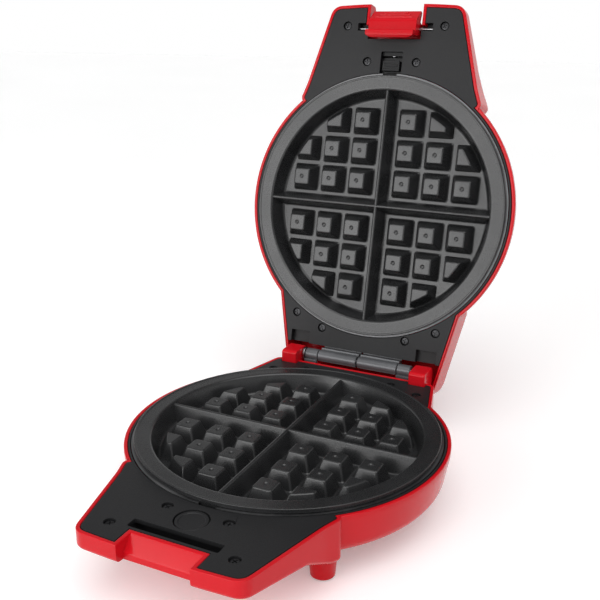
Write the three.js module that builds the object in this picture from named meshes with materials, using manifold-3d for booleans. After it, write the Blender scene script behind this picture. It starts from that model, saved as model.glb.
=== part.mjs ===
import * as THREE from 'three';
import { mergeVertices } from 'three/addons/utils/BufferGeometryUtils.js';
import Module from 'manifold-3d';

const wasm = await Module();
wasm.setup();

// A waffle and donut maker, open. Millimetres, X to the right, Y to the back, Z up.
// Base and lid are two trays with the same plan. Each is drawn with its deck at z = 0,
// its body below and its cooking side above. The lid tray is then turned over onto the
// base, at the height of deckGap, and swung open about the hinge pin.
// A Reach is a distance in front of the plate centre, a Half is half of a width.

// Driving sizes shared by all pieces
const clearance = 0.3;
const overrun = 4;
const openAngle = THREE.MathUtils.degToRad(103);
const flip = Math.PI;
const quarter = Math.PI / 2;

// Numbers of sides of the round pieces, and of steps along the swept ones
const roundSides = 40;
const panSides = 32;
const footSides = 14;
const bossSides = 8;
const smallSides = 6;
const wireSides = 5;
const heaterPoints = 17;
const heaterSteps = 40;
const leadSteps = 12;
const coilTurns = 3;
const coilSteps = 7;
const cornerSteps = 3;
const earSteps = 6;
const panPostCount = 4;

const tray = {
  wall: 2.3,
  floor: 2.5,
  drumRadius: 101,
  drumDraft: 3,
  drumShoulder: 11,
  crown: 5,
  rearSlope: 6.5,
  softCorner: 3,
  tailCorner: 4.6,
  handleCorner: 7,
  handleBow: 1.8,
  handleLip: 6,
  handleSide: 12.7,
  neckBack: 13,
  neckStep: 4.4,
  shoulderBack: 25,
  shoulderStep: 3,
  rearBack: 31,
  rearStep: 1.8,
  baseTail: 7,
  baseTailSide: 5.5,
  lidTail: 16.5,
  lidTailSide: 1.8,
  lidSill: 3.75,
};
// Depth of the underside along the handle, as shares of handleReach and depth
const undersideShares = [
  [1, 0.405],
  [0.687, 0.596],
  [0.566, 0.923],
  [0.495, 1],
];
// Draft of the drum wall, as shares of drumDraft and depth
const drumShares = [
  [0, 0],
  [0, 0.14],
  [1, 0.77],
  [1.7, 0.9],
];
// Crown of the lid, as shares of the drum floor radius and of crown
const crownShares = [
  [0.66, 0.55],
  [0.33, 0.88],
  [0, 1],
];

const plate = {
  drumGap: 6,
  flangeWide: 10.4,
  wallRun: 4,
  studEdge: 5.6,
  flangeTop: 2.6,
  lipRise: 0.45,
  lipWide: 1.6,
  flangeUnder: 0.4,
  floorDrop: 10.5,
  wall: 2.5,
  ridgeRise: 12,
  ridgeTop: 1.8,
  ridgeFoot: 9,
  studFoot: 19,
  studTop: 11.7,
  studRise: 10.5,
  studPitch: 22.4,
  studFirst: 17.6,
  dimpleRadius: 1.7,
  dimpleDeep: 0.8,
  meetGap: 0.4,
};
const lug = {
  half: 5,
  edge: 0.4,
  deep: 3.6,
  bite: 1.6,
  biteGap: 0.9,
  liftGap: 0.5,
  sill: 2.2,
};

const pan = {
  sheet: 0.8,
  rimOut: 1.5,
  rimTop: 0.1,
  wallOut: 3.4,
  bend: 1.8,
  hole: 10,
  postRadius: 4,
  postBack: 9,
  postRise: 2.5,
  heaterGap: 1.15,
};
const heater = {
  radius: 3.25,
  gap: 0.35,
  ringBack: 21,
  endHalf: 8,
  endOut: 2.5,
  straightOut: 8,
};
const heaterAngle = THREE.MathUtils.degToRad(70);

const thermostat = {
  radius: 8.5,
  capRadius: 6.8,
  postRadius: 5,
  tabHalf: 1.6,
  tabThick: 0.8,
  tabRoot: 5.1,
};
const fuse = { radius: 2.5, side: 6, long: 17, postGap: 8, capLong: 3, capGrow: 0.5 };
const block = { side: 6, long: 20, deep: 11, postGap: 1.6, tall: 10, slotWide: 1.2, slotDeep: 5 };
const blockWays = 4;
const lead = { radius: 1.2, sag: 2.2, reachIn: 12 };
const gland = {
  x: -30,
  rise: 7.2,
  bodyRadius: 4.4,
  flangeRadius: 6,
  boreRadius: 3.3,
  tail: 1.7,
  flangeThick: 2,
  noseOut: 6,
  noseRadius: 4.1,
};
const lamp = { side: 6, back: 11.7, radius: 4, dome: 1.4, domeRadius: 2.4, flange: 5.2, flangeThick: 1 };

const panel = {
  thick: 2.5,
  plateGap: 2,
  slotSide: 9,
  slotGap: 2,
  slotAhead: 3.8,
  sliderHalf: 8.2,
  sliderRoom: 3,
  pinSlotSide: 10.5,
  pinAhead: 3.6,
  pinBehind: 1.8,
  earGap: 1.5,
  hingeRoom: 7,
};
const screw = {
  headRadius: 2.8,
  headThick: 1.5,
  headDrop: 1,
  shankRadius: 1.3,
  shankLong: 6.5,
  crossHalf: 1.7,
  crossWide: 0.6,
  crossDeep: 0.8,
  wellGap: 0.4,
  cupWall: 1.2,
  cupFloor: 1.5,
  bossRadius: 3.6,
  boreGap: 0.3,
  frontOuterSide: 6,
  frontOuterAhead: 1.5,
  frontInnerSide: 8.3,
  frontInnerOut: 9.6,
  rearOuterSide: 6.5,
  rearOuterOut: 5.4,
  rearInnerSide: 8.4,
  rearInnerOut: 4,
};

const foot = {
  frontX: 55,
  frontBack: 13.5,
  rearSide: 9.5,
  rearBack: 18,
  topRadius: 8.5,
  bottomRadius: 7,
  tall: 15.8,
  padRadius: 5.2,
  padThick: 2.1,
  padSink: 0.9,
};

const hinge = {
  behind: 8,
  pinRadius: 2,
  pinGap: 0.25,
  barrelRadius: 4.3,
  lidInner: 0.6,
  knuckleWide: 9.8,
  jointGap: 0.6,
  neckFront: 5.5,
  neckRear: 1,
  leafThick: 2,
  leafFront: 25,
  leafSide: 4.4,
  collarWide: 1.8,
  collarGap: 0.5,
  collarRadius: 4.6,
};
const ear = {
  inner: 44,
  wide: 12,
  radius: 5.5,
  frontBack: 6.5,
  chamfer: 2.2,
  frontDrop: 5,
  heelDrop: 1,
  rootDrop: 14,
  endWall: 4,
  boreSpare: 0.5,
};

const button = {
  radius: 9.2,
  gap: 0.5,
  setBack: 4.7,
  top: -0.4,
  thick: 1.9,
  stemHalf: 3,
  stemBack: 3.3,
  wedgeAhead: 0.9,
  wedgeOver: 0.8,
  footRadius: 2.6,
  footThick: 0.8,
};
const catches = { drop: 4.8, thick: 2, noseHalf: 4.4 };
const lowerCatch = {
  half: 9,
  rearSink: 1.2,
  bar: 1.3,
  travel: 2.2,
};
const slider = {
  tabHalf: 6.3,
  tabBack: 1.6,
  tabLong: 7.2,
  tabTop: -0.3,
  half: 10.5,
  rearSink: 0.5,
  long: 12,
  travel: 3.5,
  springRoom: 3.3,
  fenceThick: 1.5,
  fenceDrop: 3.2,
  ribDeep: 0.5,
};
const sliderRibs = 3;
const rail = { wide: 2, side: 1.5, frontBack: 1, rearStep: 2 };
const stopRib = { half: 6, thick: 1.5 };
const spring = { wire: 0.4, radius: 2.2 };

const latch = {
  half: 18,
  slotGap: 0.8,
  pinAhead: 3.3,
  pinDrop: 1.7,
  pinRadius: 1.1,
  pinGap: 0.35,
  pinSide: 2.2,
  postWide: 3.4,
  postHalf: 3.5,
  tipAhead: 12.7,
  tipTop: -2.5,
  tipThick: 2.7,
  browAhead: 4.9,
  browGap: 0.4,
  bladeThick: 2.5,
  hookGap: 0.4,
  hookThick: 2.6,
  hookReach: 3,
  hookChamfer: 1.5,
  hookRoom: 2,
  hubDrop: 6.8,
  hubAhead: 3.8,
  hubBehind: 4.2,
  heelTop: 3,
  throat: -3.5,
  throatAhead: 4.8,
  ribRise: 0.9,
  ribFoot: 1.9,
  springPocket: 3.2,
  springHalf: 3.4,
};
// Half lengths of the grip ribs, as shares of the latch half width
const ribShares = [0.5, 0.64, 0.78];

const notch = {
  lidSide: 2,
  baseSide: 3.5,
  pinGap: 4.5,
  ledgeRun: 7.1,
  ledgeDrop: 8,
  wall: 1.5,
  sillDrop: 8.5,
};

// Half of the chord of a circle at a distance from its centre
function chord(radius, distance) {
  return Math.sqrt(radius * radius - distance * distance);
}

// Plate, pan and heater, from the drum inwards
plate.flangeRadius = tray.drumRadius - plate.drumGap;
plate.rimRadius = plate.flangeRadius - plate.flangeWide;
plate.floorRadius = plate.rimRadius - plate.wallRun;
plate.studClip = plate.floorRadius - plate.studEdge;
lug.front = plate.flangeRadius - lug.edge;
lug.rear = lug.front - lug.deep;
lug.biteRear = lug.front - lug.bite;
pan.rimRadius = plate.flangeRadius + pan.rimOut;
pan.wallRadius = plate.rimRadius + pan.wallOut;
pan.postReach = plate.floorRadius - pan.postBack;
heater.ringRadius = plate.floorRadius - heater.ringBack;
heater.straight = heater.ringRadius + heater.straightOut;
heater.endReach = pan.rimRadius + heater.endOut;

// Levels, from the plates down to the floor of the tray
const deckGap = (plate.flangeTop + plate.lipRise) * 2 + plate.meetGap;
heater.level = -(plate.floorDrop + plate.wall + heater.gap + heater.radius);
pan.underside = heater.radius - heater.level + pan.heaterGap;
tray.depth = pan.underside + pan.postRise + tray.floor;
gland.level = gland.rise - tray.depth;
const catchTop = -catches.drop;
const catchBottom = catchTop - catches.thick;
lug.drop = lug.sill - catchBottom;
button.wedgeEnd = catchBottom - button.wedgeOver;
latch.pinLevel = -(panel.thick + latch.pinDrop);
latch.browTop = deckGap - latch.browGap;
latch.hookTop = deckGap + panel.thick + latch.hookGap + latch.hookThick;

// Places along the handle, from the plate to the front
panel.plateHole = plate.flangeRadius + panel.plateGap;
const catchNose = lug.biteRear + lug.biteGap;
slider.rear = panel.plateHole - slider.rearSink;
slider.front = slider.rear + slider.long;
slider.tabRear = panel.plateHole + slider.tabBack;
slider.tabFront = slider.tabRear + slider.tabLong;
panel.sliderRear = slider.rear;
panel.sliderFront = slider.tabFront + slider.travel + panel.sliderRoom;
rail.front = slider.front - rail.frontBack;
rail.rear = panel.plateHole + rail.rearStep;
stopRib.rear = slider.front + slider.travel + slider.springRoom;
stopRib.front = stopRib.rear + stopRib.thick;
lowerCatch.rear = panel.plateHole - lowerCatch.rearSink;
panel.buttonReach = panel.plateHole + button.radius + button.setBack;
panel.buttonHole = button.radius + button.gap;
button.stemRear = panel.buttonReach - button.stemBack;
button.wedgeFront = panel.buttonReach + button.wedgeAhead;
panel.slotRear = panel.buttonReach + panel.buttonHole + panel.slotGap;
const bladeRear = -(panel.slotRear + latch.slotGap);
latch.bladeFront = bladeRear - latch.bladeThick;
latch.openingRear = -bladeRear - latch.hookRoom;
panel.slotFront = panel.slotAhead - latch.bladeFront;
latch.pinY = latch.bladeFront - latch.pinAhead;
latch.tip = latch.pinY - latch.tipAhead;
latch.brow = latch.pinY - latch.browAhead;
latch.throatY = latch.pinY - latch.throatAhead;
latch.hubFront = latch.pinY - latch.hubAhead;
latch.hubRear = latch.pinY + latch.hubBehind;
panel.pinSlotFront = panel.pinAhead - latch.pinY;
panel.pinSlotRear = -latch.pinY - panel.pinBehind;
lamp.y = latch.pinY + lamp.back;
notch.rear = notch.pinGap - latch.pinY;
notch.ledgeReach = notch.rear + notch.ledgeRun;
tray.handleReach = notch.ledgeReach + tray.handleLip;

// Places across the handle, from the latch outwards
notch.lidHalf = latch.half + notch.lidSide;
notch.baseHalf = latch.half + notch.baseSide;
panel.slotHalf = latch.half + panel.slotSide;
panel.pinSlotHalf = latch.half + panel.pinSlotSide;
latch.postInner = panel.pinSlotHalf + clearance;
latch.pinHalf = latch.postInner + latch.pinSide;
lamp.x = latch.half + lamp.side;
const frontOuterX = latch.pinHalf + screw.frontOuterSide;
tray.handleHalf = frontOuterX + tray.handleSide;

// Outline of the drum, the neck and the tail
tray.neckReach = tray.drumRadius - tray.neckBack;
tray.shoulderReach = tray.drumRadius - tray.shoulderBack;
tray.shoulderHalf = chord(tray.drumRadius, tray.shoulderReach) + tray.shoulderStep;
tray.neckHalf = tray.shoulderHalf - tray.neckStep;
tray.rearStart = tray.drumRadius - tray.rearBack;
tray.rearStartHalf = chord(tray.drumRadius, tray.rearStart) - tray.rearStep;
ear.outer = ear.inner + ear.wide;
tray.baseRear = tray.drumRadius + tray.baseTail;
tray.baseRearHalf = ear.outer + tray.baseTailSide;

// Hinge, from the ears inwards
hinge.y = tray.baseRear + hinge.behind;
hinge.z = deckGap / 2;
hinge.pinHalf = ear.outer - ear.endWall;
hinge.collarOuter = ear.inner - clearance;
hinge.collarInner = hinge.collarOuter - hinge.collarWide;
hinge.baseOuter = hinge.collarInner - hinge.collarGap;
hinge.baseInner = hinge.baseOuter - hinge.knuckleWide;
hinge.lidOuter = hinge.baseInner - hinge.jointGap;
const rearInnerX = hinge.baseOuter - screw.rearInnerSide;
hinge.lidLeafOuter = rearInnerX + hinge.leafSide;
hinge.baseLeafInner = rearInnerX - hinge.leafSide;
ear.boreEnd = hinge.pinHalf + ear.boreSpare;
ear.front = tray.baseRear - ear.frontBack;
tray.lidRear = hinge.y + tray.lidTail;
tray.lidRearHalf = ear.outer + tray.lidTailSide;
panel.baseRear = tray.baseRear - tray.wall - clearance;
panel.lidRear = hinge.y - panel.hingeRoom;
panel.hollowInner = ear.inner - panel.earGap;
panel.hollowOuter = ear.outer + panel.earGap;
panel.hollowFront = ear.front - panel.earGap;

// Screws, the inner ones at their distance from the plate hole
const frontInnerX = slider.half + screw.frontInnerSide;
const rearOuterX = tray.baseRearHalf - screw.rearOuterSide;
const screwPlaces = {
  front_outer: { x: frontOuterX, y: latch.pinY - screw.frontOuterAhead },
  front_inner: { x: frontInnerX, y: -chord(panel.plateHole + screw.frontInnerOut, frontInnerX) },
  rear_outer: { x: rearOuterX, y: chord(panel.plateHole + screw.rearOuterOut, rearOuterX) },
  rear_inner: { x: rearInnerX, y: chord(panel.plateHole + screw.rearInnerOut, rearInnerX) },
};

// Feet, cord outlet and what stands behind the pan
foot.frontY = -chord(tray.drumRadius - foot.frontBack, foot.frontX);
foot.rearX = tray.baseRearHalf - foot.rearSide;
foot.rearY = tray.baseRear - foot.rearBack;
gland.inner = tray.baseRear - tray.wall - gland.tail;
gland.nose = tray.baseRear + gland.noseOut;
const rearPostEnd = screwPlaces.rear_outer.y + screw.bossRadius;
fuse.left = rearInnerX + fuse.side;
fuse.right = fuse.left + fuse.long;
fuse.y = rearPostEnd + fuse.postGap;
block.right = -(rearInnerX + block.side);
block.left = block.right - block.long;
block.front = rearPostEnd + block.postGap;
block.rear = block.front + block.deep;

// Other derived sizes
const pi2 = Math.PI * 2;
const hullFar = tray.handleReach * 2;
const deep = -tray.depth * 2;
const drumFloor = tray.drumRadius - tray.drumShoulder;
const wellRadius = screw.headRadius + screw.wellGap;
const wellFloor = -(screw.headDrop + screw.headThick + clearance);
const cupRadius = wellRadius + screw.cupWall;
const cupBottom = wellFloor - screw.cupFloor;
const bossTop = cupBottom - clearance;
const boreRadius = screw.shankRadius + screw.boreGap;
const screwEnd = wellFloor - screw.shankLong;
const leafTop = cupBottom - clearance;
const leafBottom = leafTop - hinge.leafThick;
const footBottom = -(tray.depth + foot.tall);
const floorTop = tray.floor - tray.depth;
const panUnder = -pan.underside;
const ledgeSlant = Math.hypot(notch.ledgeRun, notch.ledgeDrop);
const recessShift = (notch.wall * ledgeSlant) / notch.ledgeDrop;

// Closed meshes to solids and back
function solidOf(geometry) {
  const bare = geometry.clone();
  bare.deleteAttribute('normal');
  bare.deleteAttribute('uv');
  const merged = mergeVertices(bare, 1e-5);
  const positions = merged.getAttribute('position').array;
  const index = merged.getIndex().array;
  const corner = (at) => new THREE.Vector3().fromArray(positions, index[at] * 3);
  const kept = [];
  let volume = 0;
  for (let at = 0; at < index.length; at += 3) {
    const ids = [index[at], index[at + 1], index[at + 2]];
    if (ids[0] === ids[1] || ids[1] === ids[2] || ids[2] === ids[0]) continue;
    kept.push(...ids);
    volume += corner(at).dot(corner(at + 1).cross(corner(at + 2)));
  }
  if (volume < 0) kept.reverse();
  const vertProperties = new Float32Array(positions);
  const triVerts = new Uint32Array(kept);
  return new wasm.Manifold(new wasm.Mesh({ numProp: 3, vertProperties, triVerts }));
}

function geometryOf(solid) {
  const mesh = solid.getMesh();
  const geometry = new THREE.BufferGeometry();
  geometry.setAttribute('position', new THREE.BufferAttribute(mesh.vertProperties, 3));
  geometry.setIndex(new THREE.BufferAttribute(mesh.triVerts, 1));
  geometry.computeVertexNormals();
  return geometry;
}

function joined(...solids) {
  return solids.flat().reduce((whole, next) => whole.add(next));
}

// Basic solids, each placed where it is wanted
function boxSolid(left, right, front, rear, bottom, top) {
  const geometry = new THREE.BoxGeometry(right - left, rear - front, top - bottom);
  geometry.translate((left + right) / 2, (front + rear) / 2, (bottom + top) / 2);
  return solidOf(geometry);
}

function coneSolid(bottomRadius, topRadius, bottom, top, x, y, sides) {
  const geometry = new THREE.CylinderGeometry(topRadius, bottomRadius, top - bottom, sides);
  geometry.rotateX(quarter);
  geometry.translate(x, y, (bottom + top) / 2);
  return solidOf(geometry);
}

function postSolid(radius, bottom, top, x, y, sides) {
  return coneSolid(radius, radius, bottom, top, x, y, sides);
}

function rodSolid(radius, left, right, y, z, sides) {
  const geometry = new THREE.CylinderGeometry(radius, radius, right - left, sides);
  geometry.rotateZ(quarter);
  geometry.translate((left + right) / 2, y, z);
  return solidOf(geometry);
}

function ductSolid(radius, front, rear, x, z, sides) {
  const geometry = new THREE.CylinderGeometry(radius, radius, rear - front, sides);
  geometry.translate(x, (front + rear) / 2, z);
  return solidOf(geometry);
}

function prismSolid(points, bottom, top) {
  const shape = new THREE.Shape(points.map(([x, y]) => new THREE.Vector2(x, y)));
  const geometry = new THREE.ExtrudeGeometry(shape, { depth: top - bottom, bevelEnabled: false });
  geometry.translate(0, 0, bottom);
  return solidOf(geometry);
}

// A side view, given as points of y and z, carried across from left to right
function acrossSolid(points, left, right) {
  const shape = new THREE.Shape(points.map(([y, z]) => new THREE.Vector2(y, z)));
  const geometry = new THREE.ExtrudeGeometry(shape, { depth: right - left, bevelEnabled: false });
  const axes = new THREE.Matrix4().makeBasis(
    new THREE.Vector3(0, 1, 0),
    new THREE.Vector3(0, 0, 1),
    new THREE.Vector3(1, 0, 0),
  );
  geometry.applyMatrix4(axes);
  geometry.translate(left, 0, 0);
  return solidOf(geometry);
}

function turnedSolid(profile, sides) {
  const points = profile.map(([radius, z]) => new THREE.Vector2(radius, z));
  const geometry = new THREE.LatheGeometry(points, sides);
  geometry.rotateX(quarter);
  return solidOf(geometry);
}

function sweptSolid(curve, radius, sides, steps) {
  const ring = [];
  for (let side = 0; side < sides; side += 1) {
    const angle = (side / sides) * pi2;
    ring.push(new THREE.Vector2(radius * Math.cos(angle), radius * Math.sin(angle)));
  }
  const shape = new THREE.Shape(ring);
  return solidOf(new THREE.ExtrudeGeometry(shape, { steps, extrudePath: curve }));
}

// A coil from one point to another, wound about the line between them
class CoilCurve extends THREE.Curve {
  constructor(from, to, radius, turns) {
    super();
    this.from = from;
    this.span = to.clone().sub(from);
    const along = this.span.clone().normalize();
    const guide = Math.abs(along.x) > Math.abs(along.y)
      ? new THREE.Vector3(0, 1, 0)
      : new THREE.Vector3(1, 0, 0);
    this.side = guide.cross(along).normalize().multiplyScalar(radius);
    this.rise = along.clone().cross(this.side);
    this.turns = turns;
  }

  getPoint(share, target = new THREE.Vector3()) {
    const angle = share * this.turns * pi2;
    return target
      .copy(this.from)
      .addScaledVector(this.span, share)
      .addScaledVector(this.side, Math.cos(angle))
      .addScaledVector(this.rise, Math.sin(angle));
  }
}

function coilSolid(from, to, radius, turns) {
  const start = new THREE.Vector3(...from);
  const end = new THREE.Vector3(...to);
  const curve = new CoilCurve(start, end, radius, turns);
  return sweptSolid(curve, spring.wire, wireSides, Math.ceil(turns * coilSteps));
}

// Outlines
function mirrored(points) {
  return [...points, ...points.slice().reverse().map(([x, y]) => [-x, y])];
}

function softened(corners, divisions) {
  const count = corners.length;
  const points = [];
  corners.forEach(([x, y, soft], at) => {
    if (!soft) {
      points.push([x, y]);
      return;
    }
    const here = new THREE.Vector2(x, y);
    const before = new THREE.Vector2(...corners[(at + count - 1) % count].slice(0, 2));
    const after = new THREE.Vector2(...corners[(at + 1) % count].slice(0, 2));
    const start = before.sub(here).setLength(soft).add(here);
    const end = after.sub(here).setLength(soft).add(here);
    new THREE.QuadraticBezierCurve(start, here, end)
      .getPoints(divisions)
      .forEach((point) => points.push([point.x, point.y]));
  });
  return points;
}

// Moves each edge of an outline, drawn anticlockwise, inwards by the same distance
function inset(points, distance) {
  const count = points.length;
  return points.map(([x, y], at) => {
    const here = new THREE.Vector2(x, y);
    const before = here.clone().sub(new THREE.Vector2(...points[(at + count - 1) % count]));
    const after = new THREE.Vector2(...points[(at + 1) % count]).sub(here);
    before.normalize();
    after.normalize();
    const normal = new THREE.Vector2(-(before.y + after.y), before.x + after.x).normalize();
    const lean = normal.dot(new THREE.Vector2(-before.y, before.x));
    return [x + (normal.x * distance) / lean, y + (normal.y * distance) / lean];
  });
}

function trayOutline(rear, rearHalf) {
  const half = [
    [tray.handleHalf / 2, -tray.handleReach + tray.handleBow / 4],
    [tray.handleHalf, -tray.handleReach + tray.handleBow, tray.handleCorner],
    [tray.neckHalf, -tray.neckReach, tray.softCorner],
    [tray.shoulderHalf, -tray.shoulderReach, tray.softCorner],
    [tray.shoulderHalf - tray.drumShoulder, -tray.shoulderReach + tray.drumShoulder],
    [tray.rearStartHalf - tray.drumShoulder, tray.rearStart - tray.drumShoulder],
    [tray.rearStartHalf, tray.rearStart, tray.softCorner],
    [rearHalf, rear, tray.tailCorner],
  ];
  const other = half.slice().reverse().map(([x, y, soft]) => [-x, y, soft]);
  return softened([...half, ...other], cornerSteps);
}

const baseOutline = trayOutline(tray.baseRear, tray.baseRearHalf);
const lidOutline = trayOutline(tray.lidRear, tray.lidRearHalf);

// The outside of a tray, or its hollow when wall and floor are given
function trayVolume(outline, rear, rearSlope, crown, wall, floor) {
  const top = wall > 0 ? overrun : 0;
  const under = undersideShares.map(([reach, drop]) => [
    -tray.handleReach * reach,
    floor - tray.depth * drop,
  ]);
  const side = [
    [-hullFar, top],
    [-hullFar, under[0][1]],
    ...under,
    [rear - wall - rearSlope, floor - tray.depth],
    [rear - wall, floor - tray.depth + rearSlope],
    [rear - wall, top],
  ];
  const plan = wall > 0 ? inset(outline, wall) : outline;
  const sideways = acrossSolid(side, -hullFar, hullFar);
  const flared = prismSolid(plan, deep, top).intersect(sideways);
  const profile = [[0, top]];
  if (wall > 0) profile.push([tray.drumRadius - wall, top]);
  drumShares.forEach(([draft, drop]) => {
    profile.push([tray.drumRadius - wall - tray.drumDraft * draft, (floor - tray.depth) * drop]);
  });
  profile.push([drumFloor - wall, floor - tray.depth]);
  if (crown > 0) {
    crownShares.forEach(([radius, rise]) => {
      profile.push([(drumFloor - wall) * radius, floor - tray.depth - crown * rise]);
    });
  } else {
    profile.push([0, floor - tray.depth]);
  }
  return flared.add(turnedSolid(profile, roundSides));
}

function bothSides(make) {
  return [make(-1), make(1)];
}

function bosses(hull) {
  const posts = [];
  const bores = [];
  Object.entries(screwPlaces).forEach(([place, at]) => {
    const top = place === 'rear_inner' ? leafBottom - clearance : bossTop;
    bothSides((side) => {
      posts.push(postSolid(screw.bossRadius, deep, top, side * at.x, at.y, bossSides));
      bores.push(postSolid(boreRadius, screwEnd, overrun, side * at.x, at.y, smallSides));
      return side;
    });
  });
  return { posts: joined(posts).intersect(hull), bores: joined(bores) };
}

function panPosts(hull) {
  const posts = [];
  for (let turn = 0; turn < panPostCount; turn += 1) {
    const angle = ((turn + 0.5) / panPostCount) * pi2;
    const x = pan.postReach * Math.cos(angle);
    const y = pan.postReach * Math.sin(angle);
    posts.push(postSolid(pan.postRadius, deep, panUnder - clearance, x, y, bossSides));
  }
  return joined(posts).intersect(hull);
}

// Two runners that carry a catch and keep it straight
function catchRails(hull, half) {
  const rails = bothSides((side) => {
    const inner = side * (half - rail.wide);
    const edge = side * (half + clearance);
    const outer = side * (half + clearance + rail.side);
    const low = boxSolid(
      Math.min(inner, outer), Math.max(inner, outer),
      -rail.front, -rail.rear, deep, catchBottom - clearance,
    );
    const high = boxSolid(
      Math.min(edge, outer), Math.max(edge, outer),
      -rail.front, -rail.rear, catchBottom - clearance, catchTop,
    );
    return low.add(high);
  });
  const above = boxSolid(-hullFar, hullFar, -rail.front, -rail.rear, catchBottom - clearance, 0);
  return joined(rails).intersect(hull.add(above));
}

// Materials
const finishes = {
  red: [0xc81f2b, 0.22, 0],
  black: [0x2a2a2c, 0.45, 0],
  coating: [0x26272a, 0.42, 0.1],
  barrel: [0x4a4b4f, 0.4, 0.6],
  steel: [0xc4c6c8, 0.25, 1],
  darkSteel: [0x8d8f92, 0.35, 1],
  aluminium: [0xb9bbbd, 0.4, 1],
  rubber: [0x151515, 0.9, 0],
  ceramic: [0xd9d4c6, 0.6, 0],
  lampRed: [0xd04030, 0.15, 0],
  lampGreen: [0x3fae4a, 0.15, 0],
  sleeve: [0xd8d6cf, 0.6, 0],
};

function addPiece(group, name, solid, finish) {
  const [color, roughness, metalness] = finishes[finish];
  const material = new THREE.MeshStandardMaterial({ color, roughness, metalness });
  const mesh = new THREE.Mesh(geometryOf(solid), material);
  mesh.name = name;
  group.add(mesh);
}

// Base shell: tray, finger recess, hinge ears, feet and inner seats
function makeBaseShell() {
  const hull = trayVolume(baseOutline, tray.baseRear, 0, 0, 0, 0);
  const hollow = trayVolume(baseOutline, tray.baseRear, 0, 0, tray.wall, tray.floor);
  const recess = (back, top) => [
    [-hullFar, top],
    [-notch.rear + back, top],
    [-notch.rear + back, 0],
    [-notch.ledgeReach + back, -notch.ledgeDrop],
    [-notch.ledgeReach + back, deep],
    [-hullFar, deep],
  ];
  const cheekHalf = notch.baseHalf + tray.wall;
  const cheeks = acrossSolid(recess(recessShift, overrun), -cheekHalf, cheekHalf).intersect(hull);
  const cut = acrossSolid(recess(0, overrun), -notch.baseHalf, notch.baseHalf);

  const arc = [];
  for (let step = 0; step <= earSteps; step += 1) {
    const angle = quarter - (step / earSteps) * quarter;
    arc.push([hinge.y + ear.radius * Math.cos(angle), hinge.z + ear.radius * Math.sin(angle)]);
  }
  const earSide = [
    [ear.front, -ear.frontDrop],
    [ear.front, hinge.z + ear.radius - ear.chamfer],
    [ear.front + ear.chamfer, hinge.z + ear.radius],
    ...arc,
    [hinge.y + ear.radius, -ear.heelDrop],
    [tray.baseRear, -ear.rootDrop],
    [tray.baseRear - tray.wall, -ear.rootDrop],
  ];
  const ears = bothSides((side) => acrossSolid(
    earSide,
    Math.min(side * ear.inner, side * ear.outer),
    Math.max(side * ear.inner, side * ear.outer),
  ));
  const pinBore = rodSolid(
    hinge.pinRadius + clearance, -ear.boreEnd, ear.boreEnd, hinge.y, hinge.z, bossSides,
  );
  const windows = bothSides((side) => {
    const inner = side * (hinge.baseLeafInner - clearance * 2);
    const outer = side * (hinge.baseOuter + clearance * 2);
    return boxSolid(
      Math.min(inner, outer), Math.max(inner, outer),
      tray.baseRear - tray.wall - overrun, tray.baseRear + overrun,
      leafBottom - clearance, leafTop + clearance,
    );
  });
  const glandHole = ductSolid(
    gland.bodyRadius + clearance, tray.baseRear - overrun, tray.baseRear + overrun,
    gland.x, gland.level, bossSides,
  );

  const feet = [];
  const sockets = [];
  [[foot.frontX, foot.frontY], [foot.rearX, foot.rearY]].forEach(([x, y]) => {
    bothSides((side) => {
      feet.push(coneSolid(foot.bottomRadius, foot.topRadius, footBottom, floorTop, side * x, y, footSides));
      sockets.push(postSolid(
        foot.padRadius + clearance, footBottom - overrun, footBottom + foot.padSink + clearance,
        side * x, y, footSides,
      ));
      return side;
    });
  });
  const { posts, bores } = bosses(hull);
  const middle = postSolid(
    thermostat.postRadius, deep, panUnder - clearance * 2, 0, 0, bossSides,
  ).intersect(hull);
  return hull
    .subtract(hollow)
    .add(joined(cheeks, posts, panPosts(hull), middle, catchRails(hull, lowerCatch.half), ears, feet))
    .subtract(joined(cut, bores, pinBore, windows, glandHole, sockets));
}

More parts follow.
